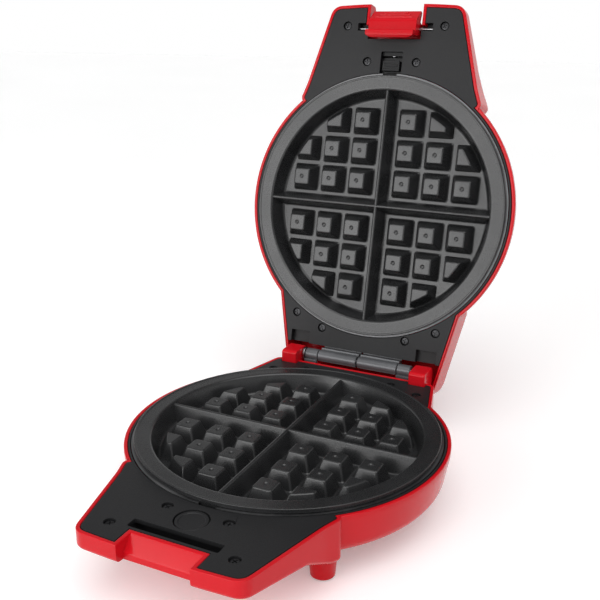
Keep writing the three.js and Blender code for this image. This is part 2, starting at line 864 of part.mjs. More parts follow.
// Lid shell: tray with a crown, a notch for the latch and inner seats
function makeLidShell() {
  const hull = trayVolume(lidOutline, tray.lidRear, tray.rearSlope, tray.crown, 0, 0);
  const hollow = trayVolume(lidOutline, tray.lidRear, tray.rearSlope, tray.crown, tray.wall, tray.floor);
  const cheekHalf = notch.lidHalf + tray.wall;
  const cheeks = boxSolid(
    -cheekHalf, cheekHalf, -hullFar, -notch.rear + tray.wall, deep, 0,
  ).intersect(hull);
  const cut = boxSolid(-notch.lidHalf, notch.lidHalf, -hullFar, -notch.rear, deep, overrun);
  const window = boxSolid(
    -notch.lidHalf, notch.lidHalf, -notch.rear - overrun, -notch.rear + tray.wall + overrun,
    -notch.sillDrop, overrun,
  );
  const rearGap = boxSolid(
    -ear.outer - clearance * 4, ear.outer + clearance * 4,
    tray.lidRear - tray.wall - overrun, tray.lidRear + overrun, -tray.lidSill, overrun,
  );
  const pinPosts = bothSides((side) => {
    const inner = side * latch.postInner;
    const outer = side * (latch.postInner + latch.postWide);
    return boxSolid(
      Math.min(inner, outer), Math.max(inner, outer),
      latch.pinY - latch.postHalf, latch.pinY + latch.postHalf, deep, -(panel.thick + clearance),
    ).intersect(hull);
  });
  const pinGroove = latch.pinRadius + clearance;
  const grooveHalf = latch.pinHalf + clearance;
  const grooves = joined(
    rodSolid(pinGroove, -grooveHalf, grooveHalf, latch.pinY, latch.pinLevel, smallSides),
    boxSolid(
      -grooveHalf, grooveHalf,
      latch.pinY - pinGroove, latch.pinY + pinGroove, latch.pinLevel, overrun,
    ),
  );
  const stop = boxSolid(
    -stopRib.half, stopRib.half, -stopRib.front, -stopRib.rear, deep, (catchTop + catchBottom) / 2,
  ).intersect(hull);
  const lampHoles = bothSides((side) => postSolid(
    lamp.radius + clearance, deep, -tray.depth / 4, side * lamp.x, lamp.y, bossSides,
  ));
  const { posts, bores } = bosses(hull);
  return hull
    .subtract(hollow)
    .add(joined(cheeks, posts, panPosts(hull), catchRails(hull, slider.half), pinPosts, stop))
    .subtract(joined(cut, window, rearGap, bores, grooves, lampHoles));
}

// Panels: the plan of the tray inside its rim, with the round hole for a plate
function panelBlank(outline, rear) {
  const margin = tray.wall + clearance;
  const plan = prismSolid(inset(outline, margin), -panel.thick, 0);
  const round = postSolid(tray.drumRadius - margin, -panel.thick, 0, 0, 0, roundSides);
  const keep = boxSolid(-hullFar, hullFar, -hullFar, rear, -hullFar, hullFar);
  const cups = [];
  const holes = [];
  Object.values(screwPlaces).forEach((at) => {
    bothSides((side) => {
      const x = side * at.x;
      cups.push(postSolid(cupRadius, cupBottom, -panel.thick / 2, x, at.y, bossSides));
      holes.push(postSolid(wellRadius, wellFloor, overrun, x, at.y, bossSides));
      holes.push(postSolid(boreRadius, cupBottom - overrun, overrun, x, at.y, smallSides));
      return side;
    });
  });
  const plateHole = postSolid(panel.plateHole, -panel.thick - overrun, overrun, 0, 0, roundSides);
  return plan.intersect(keep).add(round).subtract(plateHole).add(joined(cups)).subtract(joined(holes));
}

function makeBasePanel() {
  const low = -panel.thick - overrun;
  const half = notch.baseHalf + tray.wall + clearance;
  const front = boxSolid(-half, half, -hullFar, -notch.rear + recessShift + clearance, low, overrun);
  const slot = boxSolid(
    -panel.slotHalf, panel.slotHalf, -panel.slotFront, -panel.slotRear, low, overrun,
  );
  const hole = postSolid(panel.buttonHole, low, overrun, 0, -panel.buttonReach, footSides);
  const earNotches = bothSides((side) => {
    const inner = side * (ear.inner - clearance);
    const outer = side * (ear.outer + clearance);
    return boxSolid(
      Math.min(inner, outer), Math.max(inner, outer), ear.front - clearance, hullFar, low, overrun,
    );
  });
  return panelBlank(baseOutline, panel.baseRear).subtract(joined(front, slot, hole, earNotches));
}

function makeLidPanel() {
  const low = -panel.thick - overrun;
  const half = notch.lidHalf + tray.wall + clearance;
  const front = boxSolid(-half, half, -hullFar, -notch.rear + tray.wall + clearance, low, overrun);
  const opening = boxSolid(
    -notch.lidHalf, notch.lidHalf, -hullFar, -latch.openingRear, low, overrun,
  );
  const pinSlots = boxSolid(
    -panel.pinSlotHalf, panel.pinSlotHalf, -panel.pinSlotFront, -panel.pinSlotRear, low, overrun,
  );
  const slide = boxSolid(
    -panel.sliderHalf, panel.sliderHalf, -panel.sliderFront, -panel.sliderRear, low, overrun,
  );
  const hollows = bothSides((side) => boxSolid(
    Math.min(side * panel.hollowInner, side * panel.hollowOuter),
    Math.max(side * panel.hollowInner, side * panel.hollowOuter),
    panel.hollowFront, hullFar, low, overrun,
  ));
  return panelBlank(lidOutline, panel.lidRear).subtract(joined(front, opening, pinSlots, slide, hollows));
}

function makeScrew(at, side) {
  const x = side * at.x;
  const headTop = -screw.headDrop;
  const headUnder = headTop - screw.headThick;
  const head = postSolid(screw.headRadius, headUnder, headTop, x, at.y, bossSides);
  const shankTop = headTop - screw.headThick / 2;
  const shank = postSolid(
    screw.shankRadius, headUnder - screw.shankLong, shankTop, x, at.y, smallSides,
  );
  const bar = (wide, tall) => boxSolid(
    x - wide, x + wide, at.y - tall, at.y + tall, headTop - screw.crossDeep, 0,
  );
  const thin = screw.crossWide / 2;
  return head.add(shank).subtract(bar(screw.crossHalf, thin).add(bar(thin, screw.crossHalf)));
}

// Waffle plate: flanged cup with a cross of ridges, a grid of studs and a hold-down lug
function makeWafflePlate() {
  const floor = -plate.floorDrop;
  const lipInner = plate.flangeRadius - plate.lipWide;
  const drop = plate.rimRadius + plate.wall;
  const cup = turnedSolid([
    [0, floor - plate.wall],
    [plate.floorRadius + plate.wall, floor - plate.wall],
    [drop, plate.flangeUnder],
    [plate.flangeRadius, plate.flangeUnder],
    [plate.flangeRadius, plate.flangeTop + plate.lipRise],
    [lipInner, plate.flangeTop + plate.lipRise],
    [lipInner, plate.flangeTop],
    [plate.rimRadius, plate.flangeTop],
    [plate.floorRadius, floor],
    [0, floor],
  ], roundSides);

  const root = floor - plate.wall / 2;
  const ridgeSide = [
    [-plate.ridgeFoot / 2, root],
    [plate.ridgeFoot / 2, root],
    [plate.ridgeFoot / 2, floor],
    [plate.ridgeTop / 2, floor + plate.ridgeRise],
    [-plate.ridgeTop / 2, floor + plate.ridgeRise],
    [-plate.ridgeFoot / 2, floor],
  ];
  const along = acrossSolid(ridgeSide, -plate.rimRadius, plate.rimRadius);
  const turn = new THREE.Matrix4().makeRotationZ(quarter);
  const across = solidOf(geometryOf(along).applyMatrix4(turn));
  const ridgeLimit = coneSolid(
    plate.floorRadius, plate.rimRadius, root, floor + plate.ridgeRise, 0, 0, roundSides,
  );
  const ridges = along.add(across).intersect(ridgeLimit);

  const studs = [];
  const dimples = [];
  const offsets = [];
  for (let at = plate.studFirst; at < plate.floorRadius; at += plate.studPitch) offsets.push(at, -at);
  offsets.forEach((x) => {
    offsets.forEach((y) => {
      if (Math.hypot(x, y) > plate.floorRadius) return;
      const foot = (plate.studFoot / 2) * Math.SQRT2;
      const top = (plate.studTop / 2) * Math.SQRT2;
      const stud = new THREE.CylinderGeometry(top, foot, plate.studRise, 4);
      stud.rotateY(quarter / 2);
      stud.rotateX(quarter);
      stud.translate(x, y, floor + plate.studRise / 2);
      studs.push(solidOf(stud));
      const corner = Math.hypot(Math.abs(x) + plate.studTop / 2, Math.abs(y) + plate.studTop / 2);
      if (corner > plate.studClip) return;
      dimples.push(coneSolid(
        0, plate.dimpleRadius * 2, floor + plate.studRise - plate.dimpleDeep,
        floor + plate.studRise + plate.dimpleDeep, x, y, smallSides,
      ));
    });
  });
  const studLimit = coneSolid(
    plate.floorRadius, plate.studClip, floor - plate.wall / 4, floor + plate.studRise, 0, 0, roundSides,
  );
  const grid = joined(studs)
    .add(joined(studs).intersect(studLimit))
    .intersect(studLimit)
    .subtract(joined(dimples));

  const holdDown = boxSolid(-lug.half, lug.half, -lug.front, -lug.rear, -lug.drop, plate.flangeTop / 2);
  const bite = boxSolid(
    -lug.half - overrun, lug.half + overrun, -lug.front - overrun, -lug.biteRear,
    catchBottom - lug.liftGap, catchTop + clearance,
  );
  return cup.add(ridges).add(grid).add(holdDown.subtract(bite));
}

function makeReflector(rearHoles) {
  const under = panUnder;
  const top = under + pan.sheet;
  const outer = pan.wallRadius + pan.sheet;
  const sheet = turnedSolid([
    [pan.hole, under],
    [outer - pan.bend, under],
    [outer, under + pan.bend],
    [outer, pan.rimTop - pan.sheet],
    [pan.rimRadius, pan.rimTop - pan.sheet],
    [pan.rimRadius, pan.rimTop],
    [pan.wallRadius, pan.rimTop],
    [pan.wallRadius, top + pan.bend - pan.sheet / 2],
    [pan.wallRadius - pan.bend + pan.sheet / 2, top],
    [pan.hole, top],
    [pan.hole, under],
  ], panSides);
  const lugGap = boxSolid(
    -lug.half - clearance, lug.half + clearance, -hullFar, -lug.rear + clearance,
    pan.rimTop - pan.sheet - overrun, overrun,
  );
  const holes = rearHoles.map((x) => ductSolid(
    heater.radius + clearance * 2, pan.wallRadius - overrun, pan.rimRadius,
    x, heater.level, smallSides,
  ));
  return sheet.subtract(joined(lugGap, holes));
}

function makeHeater() {
  const points = [
    new THREE.Vector3(heater.endHalf, heater.endReach, heater.level),
    new THREE.Vector3(heater.endHalf, (heater.endReach + heater.straight) / 2, heater.level),
    new THREE.Vector3(heater.endHalf, heater.straight, heater.level),
  ];
  const sweep = pi2 - (quarter - heaterAngle) * 2;
  for (let at = 0; at < heaterPoints; at += 1) {
    const angle = heaterAngle - (at / (heaterPoints - 1)) * sweep;
    points.push(new THREE.Vector3(
      heater.ringRadius * Math.cos(angle), heater.ringRadius * Math.sin(angle), heater.level,
    ));
  }
  points.slice(0, 3).reverse().forEach((point) => {
    points.push(new THREE.Vector3(-point.x, point.y, point.z));
  });
  const curve = new THREE.CatmullRomCurve3(points);
  return sweptSolid(curve, heater.radius, smallSides, heaterSteps);
}

// Hinge: a barrel with a neck and a leaf that lies under the panel and is held by its screws
function makeHingeLeaf(side, inner, outer, leafInner, leafOuter, level) {
  const low = hinge.y - hinge.neckFront;
  const barrel = rodSolid(
    hinge.barrelRadius, Math.min(side * inner, side * outer), Math.max(side * inner, side * outer),
    hinge.y, level, footSides,
  );
  const neck = boxSolid(
    Math.min(side * inner, side * outer), Math.max(side * inner, side * outer),
    low, hinge.y - hinge.neckRear, leafBottom, level - hinge.pinRadius / 2,
  );
  const leaf = boxSolid(
    Math.min(side * leafInner, side * leafOuter), Math.max(side * leafInner, side * leafOuter),
    hinge.y - hinge.leafFront, tray.baseRear - tray.wall - clearance * 2, leafBottom, leafTop,
  );
  const bridge = boxSolid(
    Math.min(side * inner, side * outer), Math.max(side * inner, side * outer),
    hinge.y - hinge.leafFront / 2, hinge.y - hinge.neckRear, leafBottom, leafTop,
  );
  const bore = rodSolid(
    hinge.pinRadius + hinge.pinGap, -hullFar, hullFar, hinge.y, level, bossSides,
  );
  const at = screwPlaces.rear_inner;
  const hole = postSolid(boreRadius, -tray.depth, overrun, side * at.x, at.y, smallSides);
  return joined(barrel, neck, leaf, bridge).subtract(bore.add(hole));
}

function makeHingePin() {
  const pin = rodSolid(hinge.pinRadius, -hinge.pinHalf, hinge.pinHalf, hinge.y, hinge.z, bossSides);
  const collar = rodSolid(
    hinge.collarRadius, -hinge.collarOuter, -hinge.collarInner, hinge.y, hinge.z, footSides,
  );
  return pin.add(collar);
}

// Latch: thumb piece, hub on its pin, blade and hook in one moulding
function makeLatch() {
  const side = [
    [latch.tip, latch.tipTop],
    [latch.tip + latch.tipThick / 3, latch.tipTop - latch.tipThick],
    [latch.throatY, latch.throat],
    [latch.hubFront, -latch.hubDrop],
    [latch.hubRear, -latch.hubDrop],
    [bladeRear, latch.heelTop],
    [bladeRear, latch.hookTop - latch.hookThick],
    [bladeRear + latch.hookReach, latch.hookTop - latch.hookThick],
    [bladeRear + latch.hookReach, latch.hookTop - latch.hookChamfer],
    [bladeRear + latch.hookReach - latch.hookChamfer, latch.hookTop],
    [latch.bladeFront, latch.hookTop],
    [latch.bladeFront, latch.browTop],
    [latch.brow, latch.browTop],
  ];
  const body = acrossSolid(side, -latch.half, latch.half);
  const run = new THREE.Vector2(latch.brow - latch.tip, latch.browTop - latch.tipTop);
  const length = run.length();
  run.normalize();
  const out = new THREE.Vector2(-run.y, run.x);
  const ribs = ribShares.map((share, at) => {
    const middle = (length * (at + 1)) / (ribShares.length + 1);
    const foot = (offset, rise) => [
      latch.tip + run.x * (middle + offset) + out.x * rise,
      latch.tipTop + run.y * (middle + offset) + out.y * rise,
    ];
    const points = [
      foot(-latch.ribFoot / 2, -latch.ribRise),
      foot(latch.ribFoot / 2, -latch.ribRise),
      foot(latch.ribFoot / 2, 0),
      foot(0, latch.ribRise),
      foot(-latch.ribFoot / 2, 0),
    ];
    return acrossSolid(points, -latch.half * share, latch.half * share);
  });
  const bore = rodSolid(
    latch.pinRadius + latch.pinGap, -latch.half - overrun, latch.half + overrun,
    latch.pinY, latch.pinLevel, smallSides,
  );
  const pocket = rodSolid(
    latch.springPocket, -latch.springHalf, latch.springHalf, latch.pinY, latch.pinLevel, smallSides,
  );
  return body.add(joined(ribs)).subtract(bore.add(pocket));
}

function makeLatchSpring() {
  const radius = latch.pinRadius + latch.pinGap + spring.wire * 2;
  return coilSolid(
    [-latch.springHalf + spring.wire * 2, latch.pinY, latch.pinLevel],
    [latch.springHalf - spring.wire * 2, latch.pinY, latch.pinLevel],
    radius, coilTurns,
  );
}

function makeCatchNose() {
  return boxSolid(
    -catches.noseHalf, catches.noseHalf, -slider.rear - overrun, -catchNose, catchBottom, catchTop,
  );
}

function makeSlider() {
  const leaf = boxSolid(
    -slider.half, slider.half, -slider.front, -slider.rear, catchBottom, catchTop,
  );
  const tab = boxSolid(
    -slider.tabHalf, slider.tabHalf, -slider.tabFront, -slider.tabRear,
    (catchTop + catchBottom) / 2, slider.tabTop,
  );
  const fence = boxSolid(
    -slider.tabHalf, slider.tabHalf, -slider.front, -slider.front + slider.fenceThick,
    catchBottom - slider.fenceDrop, catchTop,
  );
  const pitch = slider.tabLong / (sliderRibs + 1);
  const grips = [];
  for (let at = 1; at <= sliderRibs; at += 1) {
    const y = -slider.tabFront + at * pitch;
    grips.push(boxSolid(
      -slider.tabHalf + pitch / 2, slider.tabHalf - pitch / 2, y - pitch / 4, y + pitch / 4,
      slider.tabTop - slider.ribDeep, overrun,
    ));
  }
  return joined(leaf, tab, fence, makeCatchNose()).subtract(joined(grips));
}

function makeLowerCatch() {
  const front = button.wedgeFront + clearance;
  const leaf = boxSolid(
    -lowerCatch.half, lowerCatch.half, -front - lowerCatch.bar, -lowerCatch.rear,
    catchBottom, catchTop,
  );
  const rear = button.stemRear - lowerCatch.travel - clearance;
  const hole = boxSolid(
    -button.stemHalf - clearance, button.stemHalf + clearance, -front, -rear,
    catchBottom - overrun, catchTop + overrun,
  );
  return leaf.add(makeCatchNose()).subtract(hole);
}

// Where the slanting front of the button's stem is at a level
function wedge(z) {
  return catchTop - button.wedgeFront - z;
}

const buttonFootY = (wedge(button.wedgeEnd) - button.stemRear) / 2;

function makeButton() {
  const under = button.top - button.thick;
  const disc = postSolid(button.radius, under, button.top, 0, -panel.buttonReach, footSides);
  const stem = acrossSolid([
    [wedge(under), under + button.thick / 2],
    [wedge(under), under],
    [wedge(button.wedgeEnd), button.wedgeEnd],
    [-button.stemRear, button.wedgeEnd],
    [-button.stemRear, under + button.thick / 2],
  ], -button.stemHalf, button.stemHalf);
  const footUnder = button.wedgeEnd - button.footThick;
  const end = postSolid(button.footRadius, footUnder, button.wedgeEnd, 0, buttonFootY, smallSides);
  return joined(disc, stem, end);
}

function makeThermostat() {
  const bottom = panUnder - clearance;
  const top = -(plate.floorDrop + plate.wall) - clearance;
  const can = postSolid(thermostat.radius, bottom, top, 0, 0, footSides);
  const cap = postSolid(thermostat.capRadius, top - clearance, top, 0, 0, footSides);
  const tabs = bothSides((side) => boxSolid(
    Math.min(side * thermostat.tabRoot, side * (thermostat.radius + clearance)),
    Math.max(side * thermostat.tabRoot, side * (thermostat.radius + clearance)),
    -thermostat.tabHalf, thermostat.tabHalf,
    (bottom + top) / 2 - thermostat.tabThick, (bottom + top) / 2,
  ));
  return joined(can, cap, tabs);
}

function makeFuse() {
  const level = floorTop + clearance + fuse.radius + fuse.capGrow;
  const body = rodSolid(fuse.radius, fuse.left, fuse.right, fuse.y, level, bossSides);
  const grown = fuse.radius + fuse.capGrow;
  const caps = [
    rodSolid(grown, fuse.left, fuse.left + fuse.capLong, fuse.y, level, bossSides),
    rodSolid(grown, fuse.right - fuse.capLong, fuse.right, fuse.y, level, bossSides),
  ];
  return joined(body, caps);
}

function makeTerminalBlock() {
  const bottom = floorTop + clearance;
  const top = bottom + block.tall;
  const body = boxSolid(block.left, block.right, block.front, block.rear, bottom, top);
  const pitch = block.long / blockWays;
  const slots = [];
  for (let at = 1; at < blockWays; at += 1) {
    const x = block.left + at * pitch;
    slots.push(boxSolid(
      x - block.slotWide / 2, x + block.slotWide / 2, block.front - overrun, block.rear + overrun,
      top - block.slotDeep, top + overrun,
    ));
  }
  return body.subtract(joined(slots));
}

function makeLead(side, endX, endY, endLevel) {
  const start = heater.endReach + clearance + lead.radius;
  const back = heater.endReach + lead.sag;
  const points = [
    new THREE.Vector3(side * heater.endHalf, start, heater.level),
    new THREE.Vector3(side * (heater.endHalf + lead.reachIn), back, heater.level),
    new THREE.Vector3(side * rearInnerX, back, endLevel),
    new THREE.Vector3(endX, endY, endLevel),
  ];
  return sweptSolid(new THREE.CatmullRomCurve3(points), lead.radius, wireSides, leadSteps);
}

function makeGland() {
  const wallOuter = tray.baseRear;
  const body = ductSolid(
    gland.bodyRadius, gland.inner, wallOuter + clearance * 2, gland.x, gland.level, bossSides,
  );
  const flange = ductSolid(
    gland.flangeRadius, wallOuter + clearance, wallOuter + clearance + gland.flangeThick,
    gland.x, gland.level, footSides,
  );
  const nose = ductSolid(
    gland.noseRadius, wallOuter + clearance, gland.nose, gland.x, gland.level, bossSides,
  );
  const bore = ductSolid(
    gland.boreRadius, gland.inner - overrun, gland.nose + overrun, gland.x, gland.level, bossSides,
  );
  return joined(body, flange, nose).subtract(bore);
}

// Depth of the tray underside at a place along the handle
function undersideAt(y) {
  const reach = -y / tray.handleReach;
  for (let at = 1; at < undersideShares.length; at += 1) {
    const [farReach, farDeep] = undersideShares[at - 1];
    const [nearReach, nearDeep] = undersideShares[at];
    if (reach <= farReach && reach >= nearReach) {
      const share = (farReach - reach) / (farReach - nearReach);
      return -tray.depth * (farDeep + share * (nearDeep - farDeep));
    }
  }
  return -tray.depth;
}

function makeLamp(side) {
  const under = undersideAt(lamp.y);
  const x = side * lamp.x;
  const inner = under + tray.floor + clearance + lamp.dome;
  const barrel = postSolid(lamp.radius, under - lamp.dome / 2, inner, x, lamp.y, bossSides);
  const dome = coneSolid(
    lamp.domeRadius, lamp.radius, under - lamp.dome, under - lamp.dome / 2, x, lamp.y, bossSides,
  );
  const flange = postSolid(lamp.flange, inner, inner + lamp.flangeThick, x, lamp.y, bossSides);
  return joined(barrel, dome, flange);
}

// Base group
const base = new THREE.Group();
const sideNames = { '-1': 'left', 1: 'right' };
addPiece(base, 'base_shell', makeBaseShell(), 'red');
addPiece(base, 'base_panel', makeBasePanel(), 'black');
addPiece(base, 'lower_waffle_plate', makeWafflePlate(), 'coating');
addPiece(base, 'lower_reflector', makeReflector([-heater.endHalf, heater.endHalf]), 'aluminium');
addPiece(base, 'lower_heating_element', makeHeater(), 'darkSteel');
addPiece(base, 'thermostat', makeThermostat(), 'ceramic');
addPiece(base, 'thermal_fuse', makeFuse(), 'steel');
addPiece(base, 'terminal_block', makeTerminalBlock(), 'ceramic');
const leadGap = clearance + lead.radius;
const blockEnd = heater.endReach - clearance;
const blockLead = makeLead(-1, block.right + leadGap, blockEnd, floorTop + block.tall / 2);
const fuseLead = makeLead(1, fuse.left - leadGap, fuse.y, floorTop + clearance + fuse.radius);
addPiece(base, 'block_lead', blockLead, 'sleeve');
addPiece(base, 'fuse_lead', fuseLead, 'sleeve');
addPiece(base, 'cord_gland', makeGland(), 'rubber');
[['front', foot.frontX, foot.frontY], ['rear', foot.rearX, foot.rearY]].forEach(([place, x, y]) => {
  [-1, 1].forEach((side) => {
    const top = footBottom + foot.padSink;
    const pad = postSolid(foot.padRadius, top - foot.padThick, top, side * x, y, footSides);
    addPiece(base, `foot_pad_${place}_${sideNames[side]}`, pad, 'rubber');
  });
});
addPiece(base, 'hinge_pin', makeHingePin(), 'steel');
[-1, 1].forEach((side) => {
  const knuckle = makeHingeLeaf(
    side, hinge.baseInner, hinge.baseOuter, hinge.baseLeafInner, hinge.baseOuter, hinge.z,
  );
  addPiece(base, `base_hinge_knuckle_${sideNames[side]}`, knuckle, 'barrel');
});
addPiece(base, 'lower_release_button', makeButton(), 'black');
addPiece(base, 'lower_plate_catch', makeLowerCatch(), 'steel');
const buttonSpring = coilSolid(
  [0, buttonFootY, undersideAt(buttonFootY) + tray.floor + clearance + spring.wire],
  [0, buttonFootY, button.wedgeEnd - button.footThick - clearance - spring.wire],
  spring.radius, coilTurns / 2,
);
addPiece(base, 'lower_release_spring', buttonSpring, 'steel');

// Lid group, drawn as a tray like the base
const lid = new THREE.Group();
addPiece(lid, 'lid_shell', makeLidShell(), 'red');
addPiece(lid, 'lid_panel', makeLidPanel(), 'black');
addPiece(lid, 'upper_waffle_plate', makeWafflePlate(), 'coating');
addPiece(lid, 'upper_reflector', makeReflector([-heater.endHalf, heater.endHalf]), 'aluminium');
addPiece(lid, 'upper_heating_element', makeHeater(), 'darkSteel');
[-1, 1].forEach((side) => {
  const barrel = makeHingeLeaf(
    side, hinge.lidInner, hinge.lidOuter, hinge.lidInner, hinge.lidLeafOuter, deckGap - hinge.z,
  );
  addPiece(lid, `lid_hinge_barrel_${sideNames[-side]}`, barrel, 'barrel');
});
addPiece(lid, 'upper_release_slider', makeSlider(), 'black');
const sliderSpring = coilSolid(
  [0, -slider.front - clearance - spring.wire, catchBottom - slider.fenceDrop / 2],
  [0, -stopRib.rear + clearance + spring.wire, catchBottom - slider.fenceDrop / 2],
  spring.radius, coilTurns,
);
addPiece(lid, 'upper_release_spring', sliderSpring, 'steel');
addPiece(lid, 'lid_latch', makeLatch(), 'red');
const latchPin = rodSolid(
  latch.pinRadius, -latch.pinHalf, latch.pinHalf, latch.pinY, latch.pinLevel, smallSides,
);
addPiece(lid, 'latch_pin', latchPin, 'steel');
addPiece(lid, 'latch_spring', makeLatchSpring(), 'steel');
addPiece(lid, 'power_lamp_lens', makeLamp(-1), 'lampRed');
addPiece(lid, 'ready_lamp_lens', makeLamp(1), 'lampGreen');

// Screws of both panels
Object.entries(screwPlaces).forEach(([place, at]) => {
  [-1, 1].forEach((side) => {
    addPiece(base, `base_screw_${place}_${sideNames[side]}`, makeScrew(at, side), 'steel');
    addPiece(lid, `lid_screw_${place}_${sideNames[-side]}`, makeScrew(at, side), 'steel');
  });
});

// The lid turned over, set on the base and swung open
const turned = new THREE.Group();
turned.rotation.y = flip;
turned.position.set(0, -hinge.y, deckGap - hinge.z);
turned.add(lid);
const swing = new THREE.Group();
swing.position.set(0, hinge.y, hinge.z);
swing.rotation.x = -openAngle;
swing.add(turned);

// The whole, standing on its pads and centred
const machine = new THREE.Group();
machine.add(base, swing);
machine.updateMatrixWorld(true);
const bounds = new THREE.Box3().setFromObject(machine, true);
const centre = bounds.getCenter(new THREE.Vector3());
machine.position.set(-centre.x, -centre.y, -bounds.min.z);
machine.updateMatrixWorld(true);

const part = new THREE.Group();
part.add(machine);

export default part;
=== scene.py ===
import math

import bmesh
import bpy
from mathutils import Matrix, Vector


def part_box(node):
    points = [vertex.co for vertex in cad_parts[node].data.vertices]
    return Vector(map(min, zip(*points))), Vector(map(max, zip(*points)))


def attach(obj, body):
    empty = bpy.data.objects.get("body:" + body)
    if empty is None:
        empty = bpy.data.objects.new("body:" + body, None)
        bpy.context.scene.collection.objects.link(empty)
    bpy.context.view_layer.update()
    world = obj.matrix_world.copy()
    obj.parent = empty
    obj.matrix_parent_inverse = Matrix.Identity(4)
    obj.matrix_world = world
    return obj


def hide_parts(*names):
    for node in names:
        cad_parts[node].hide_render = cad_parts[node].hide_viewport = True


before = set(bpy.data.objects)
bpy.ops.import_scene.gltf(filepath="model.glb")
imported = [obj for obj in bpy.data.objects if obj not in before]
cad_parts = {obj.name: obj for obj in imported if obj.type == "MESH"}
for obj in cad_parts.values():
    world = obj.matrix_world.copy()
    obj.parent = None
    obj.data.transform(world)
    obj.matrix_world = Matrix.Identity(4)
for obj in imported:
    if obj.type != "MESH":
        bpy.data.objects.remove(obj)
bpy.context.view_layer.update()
MM = 0.001
QUARTER = math.pi / 2
SIDES = ((-1, "left", "right"), (1, "right", "left"))

# Sizes are in millimetres. Base and lid are both drawn with the deck at z = 0, the centre of
# the plate at x = y = 0 and the handle towards -y. The lid is turned over when it is placed.
CLEAR = 0.3
FAR = 300.0
DECK_GAP = 6.5
OPEN_ANGLE = math.radians(103)
HINGE_Y = 116.0
HINGE_Z = DECK_GAP / 2

# How far cuts reach past a surface, through a wall and under the panels
OVERRUN = 4.0
INWARD = 2.0
BELOW = -9.0

# Shells
WALL = 2.3
FLOOR = 2.5
DEPTH = 26.0
OPEN_TOP = 5.0
DRUM_RADIUS = 101.0
DRUM_DRAFT = 3.0
DRUM_SHOULDER = 11.0
DRUM_FOOT_IN = 1.5
CROWN = 5.0
CROWN_STEPS, FLAT_STEPS = 14, 2
HANDLE_REACH = 146.8
HANDLE_BOW = 1.8
HANDLE_HALF = 49.7
HANDLE_CORNER = 7.0
NECK_REACH = 88.0
NECK_HALF = 65.12
SHOULDER_REACH = 76.0
SHOULDER_HALF = 69.52
REAR_START = 70.0
REAR_START_HALF = 71.01
BASE_REAR = 108.0
BASE_REAR_HALF = 61.5
LID_REAR = 132.5
LID_REAR_HALF = 57.8
REAR_SLOPE = 6.5
SOFT_CORNER = 3.0
TAIL_CORNER = 4.6
# Depth of the underside along the handle, as shares of HANDLE_REACH and DEPTH
UNDERSIDE = [(1, 0.405), (0.687, 0.596), (0.566, 0.923), (0.495, 1)]
# The drum's wall is plumb, then turns into the floor: shares of DEPTH and of DRUM_DRAFT
PLUMB_SHARE, TURN_SHARE, TURN_DRAFT, CORNER_DRAFT = 0.14, 0.64, 0.85, 1.15
CROWN_EDGE = 0.02

# Rounded edges, and how near an edge has to be to the place that is asked for
RIM_ROUND = 0.55
BOTTOM_ROUND = 2.6
EDGE_ROUND = 0.9
PANEL_ROUND = 0.3
FINE_ROUND = 0.25
NEAR = 0.05
EXACT = 0.01

# Panels and screws
PANEL = 2.5
PLATE_HOLE = 97.0
BASE_PANEL_REAR, LID_PANEL_REAR = 105.4, 109.0
SCREWS = {
    "front_outer": (37, -130.7),
    "front_inner": (18.8, -104.93),
    "rear_outer": (55, 86.38),
    "rear_inner": (33, 95.46),
}
WELL_RADIUS, WELL_FLOOR = 3.2, -2.8
CUP_SIDE, CUP_UNDER = 1.2, 1.5

# The recess in the front of the base and the notch in the lid
NOTCH_BASE_HALF = 21.5
NOTCH_LID_HALF = 20.0
NOTCH_REAR = 133.7
LEDGE_REACH = 140.8
LEDGE_DROP = 8.0
NOTCH_WALL = 1.5
SILL_DROP = 8.5

# Latch
LATCH_HALF = 18.0
PIN_Y, PIN_Z = -129.2, -4.2
BLADE_FRONT, BLADE_REAR, HOOK_TOP = -125.9, -123.4, 12.0

# Release button and slider
BUTTON_Y, BUTTON_RADIUS, BUTTON_TOP = -110.9, 9.2, -0.4
SLIDE_FRONT, SLIDE_LONG = -105.8, 7.2

# Numbers of sides of round pieces
ROUND = 192
PLATE_SIDES = 256
BUTTON_SIDES = 96
FINE = 64
SMALL = 48
THIN = 32


# Meshes
def make(name, verts, faces):
    mesh = bpy.data.meshes.new(name)
    mesh.from_pydata([tuple(v) for v in verts], [], faces)
    mesh.validate()
    bm = bmesh.new()
    bm.from_mesh(mesh)
    bmesh.ops.recalc_face_normals(bm, faces=bm.faces)
    bm.to_mesh(mesh)
    bm.free()
    obj = bpy.data.objects.new(name, mesh)
    bpy.context.scene.collection.objects.link(obj)
    return obj


def rings_to_mesh(rings):
    """Joins rings of points, each with the same number, into one closed skin."""
    count = len(rings[0])
    verts = [point for ring in rings for point in ring]
    faces = []
    for level in range(len(rings) - 1):
        low = level * count
        high = low + count
        for at in range(count):
            after = (at + 1) % count
            faces.append((low + at, low + after, high + after, high + at))
    faces.append(tuple(range(count)))
    faces.append(tuple(len(verts) - count + at for at in range(count)))
    return make("rings", verts, faces)


def prism(points, bottom, top):
    """An outline of x and y, drawn up."""
    return rings_to_mesh([[(x, y, z) for x, y in points] for z in (bottom, top)])


def across(points, left, right):
    """A side view of y and z, drawn across."""
    return rings_to_mesh([[(x, y, z) for y, z in points] for x in (left, right)])


def box(left, right, front, rear, bottom, top):
    return prism([(left, front), (right, front), (right, rear), (left, rear)], bottom, top)


def middle_box(half, front, rear, bottom, top):
    return box(-half, half, front, rear, bottom, top)


def span(side, inner, outer):
    """Left and right of something that lies from inner to outer on one side."""
    return min(side * inner, side * outer), max(side * inner, side * outer)


def side_boxes(inner, outer, front, rear, bottom, top):
    """The same box on the left and on the right."""
    return [box(*span(side, inner, outer), front, rear, bottom, top) for side in (-1, 1)]


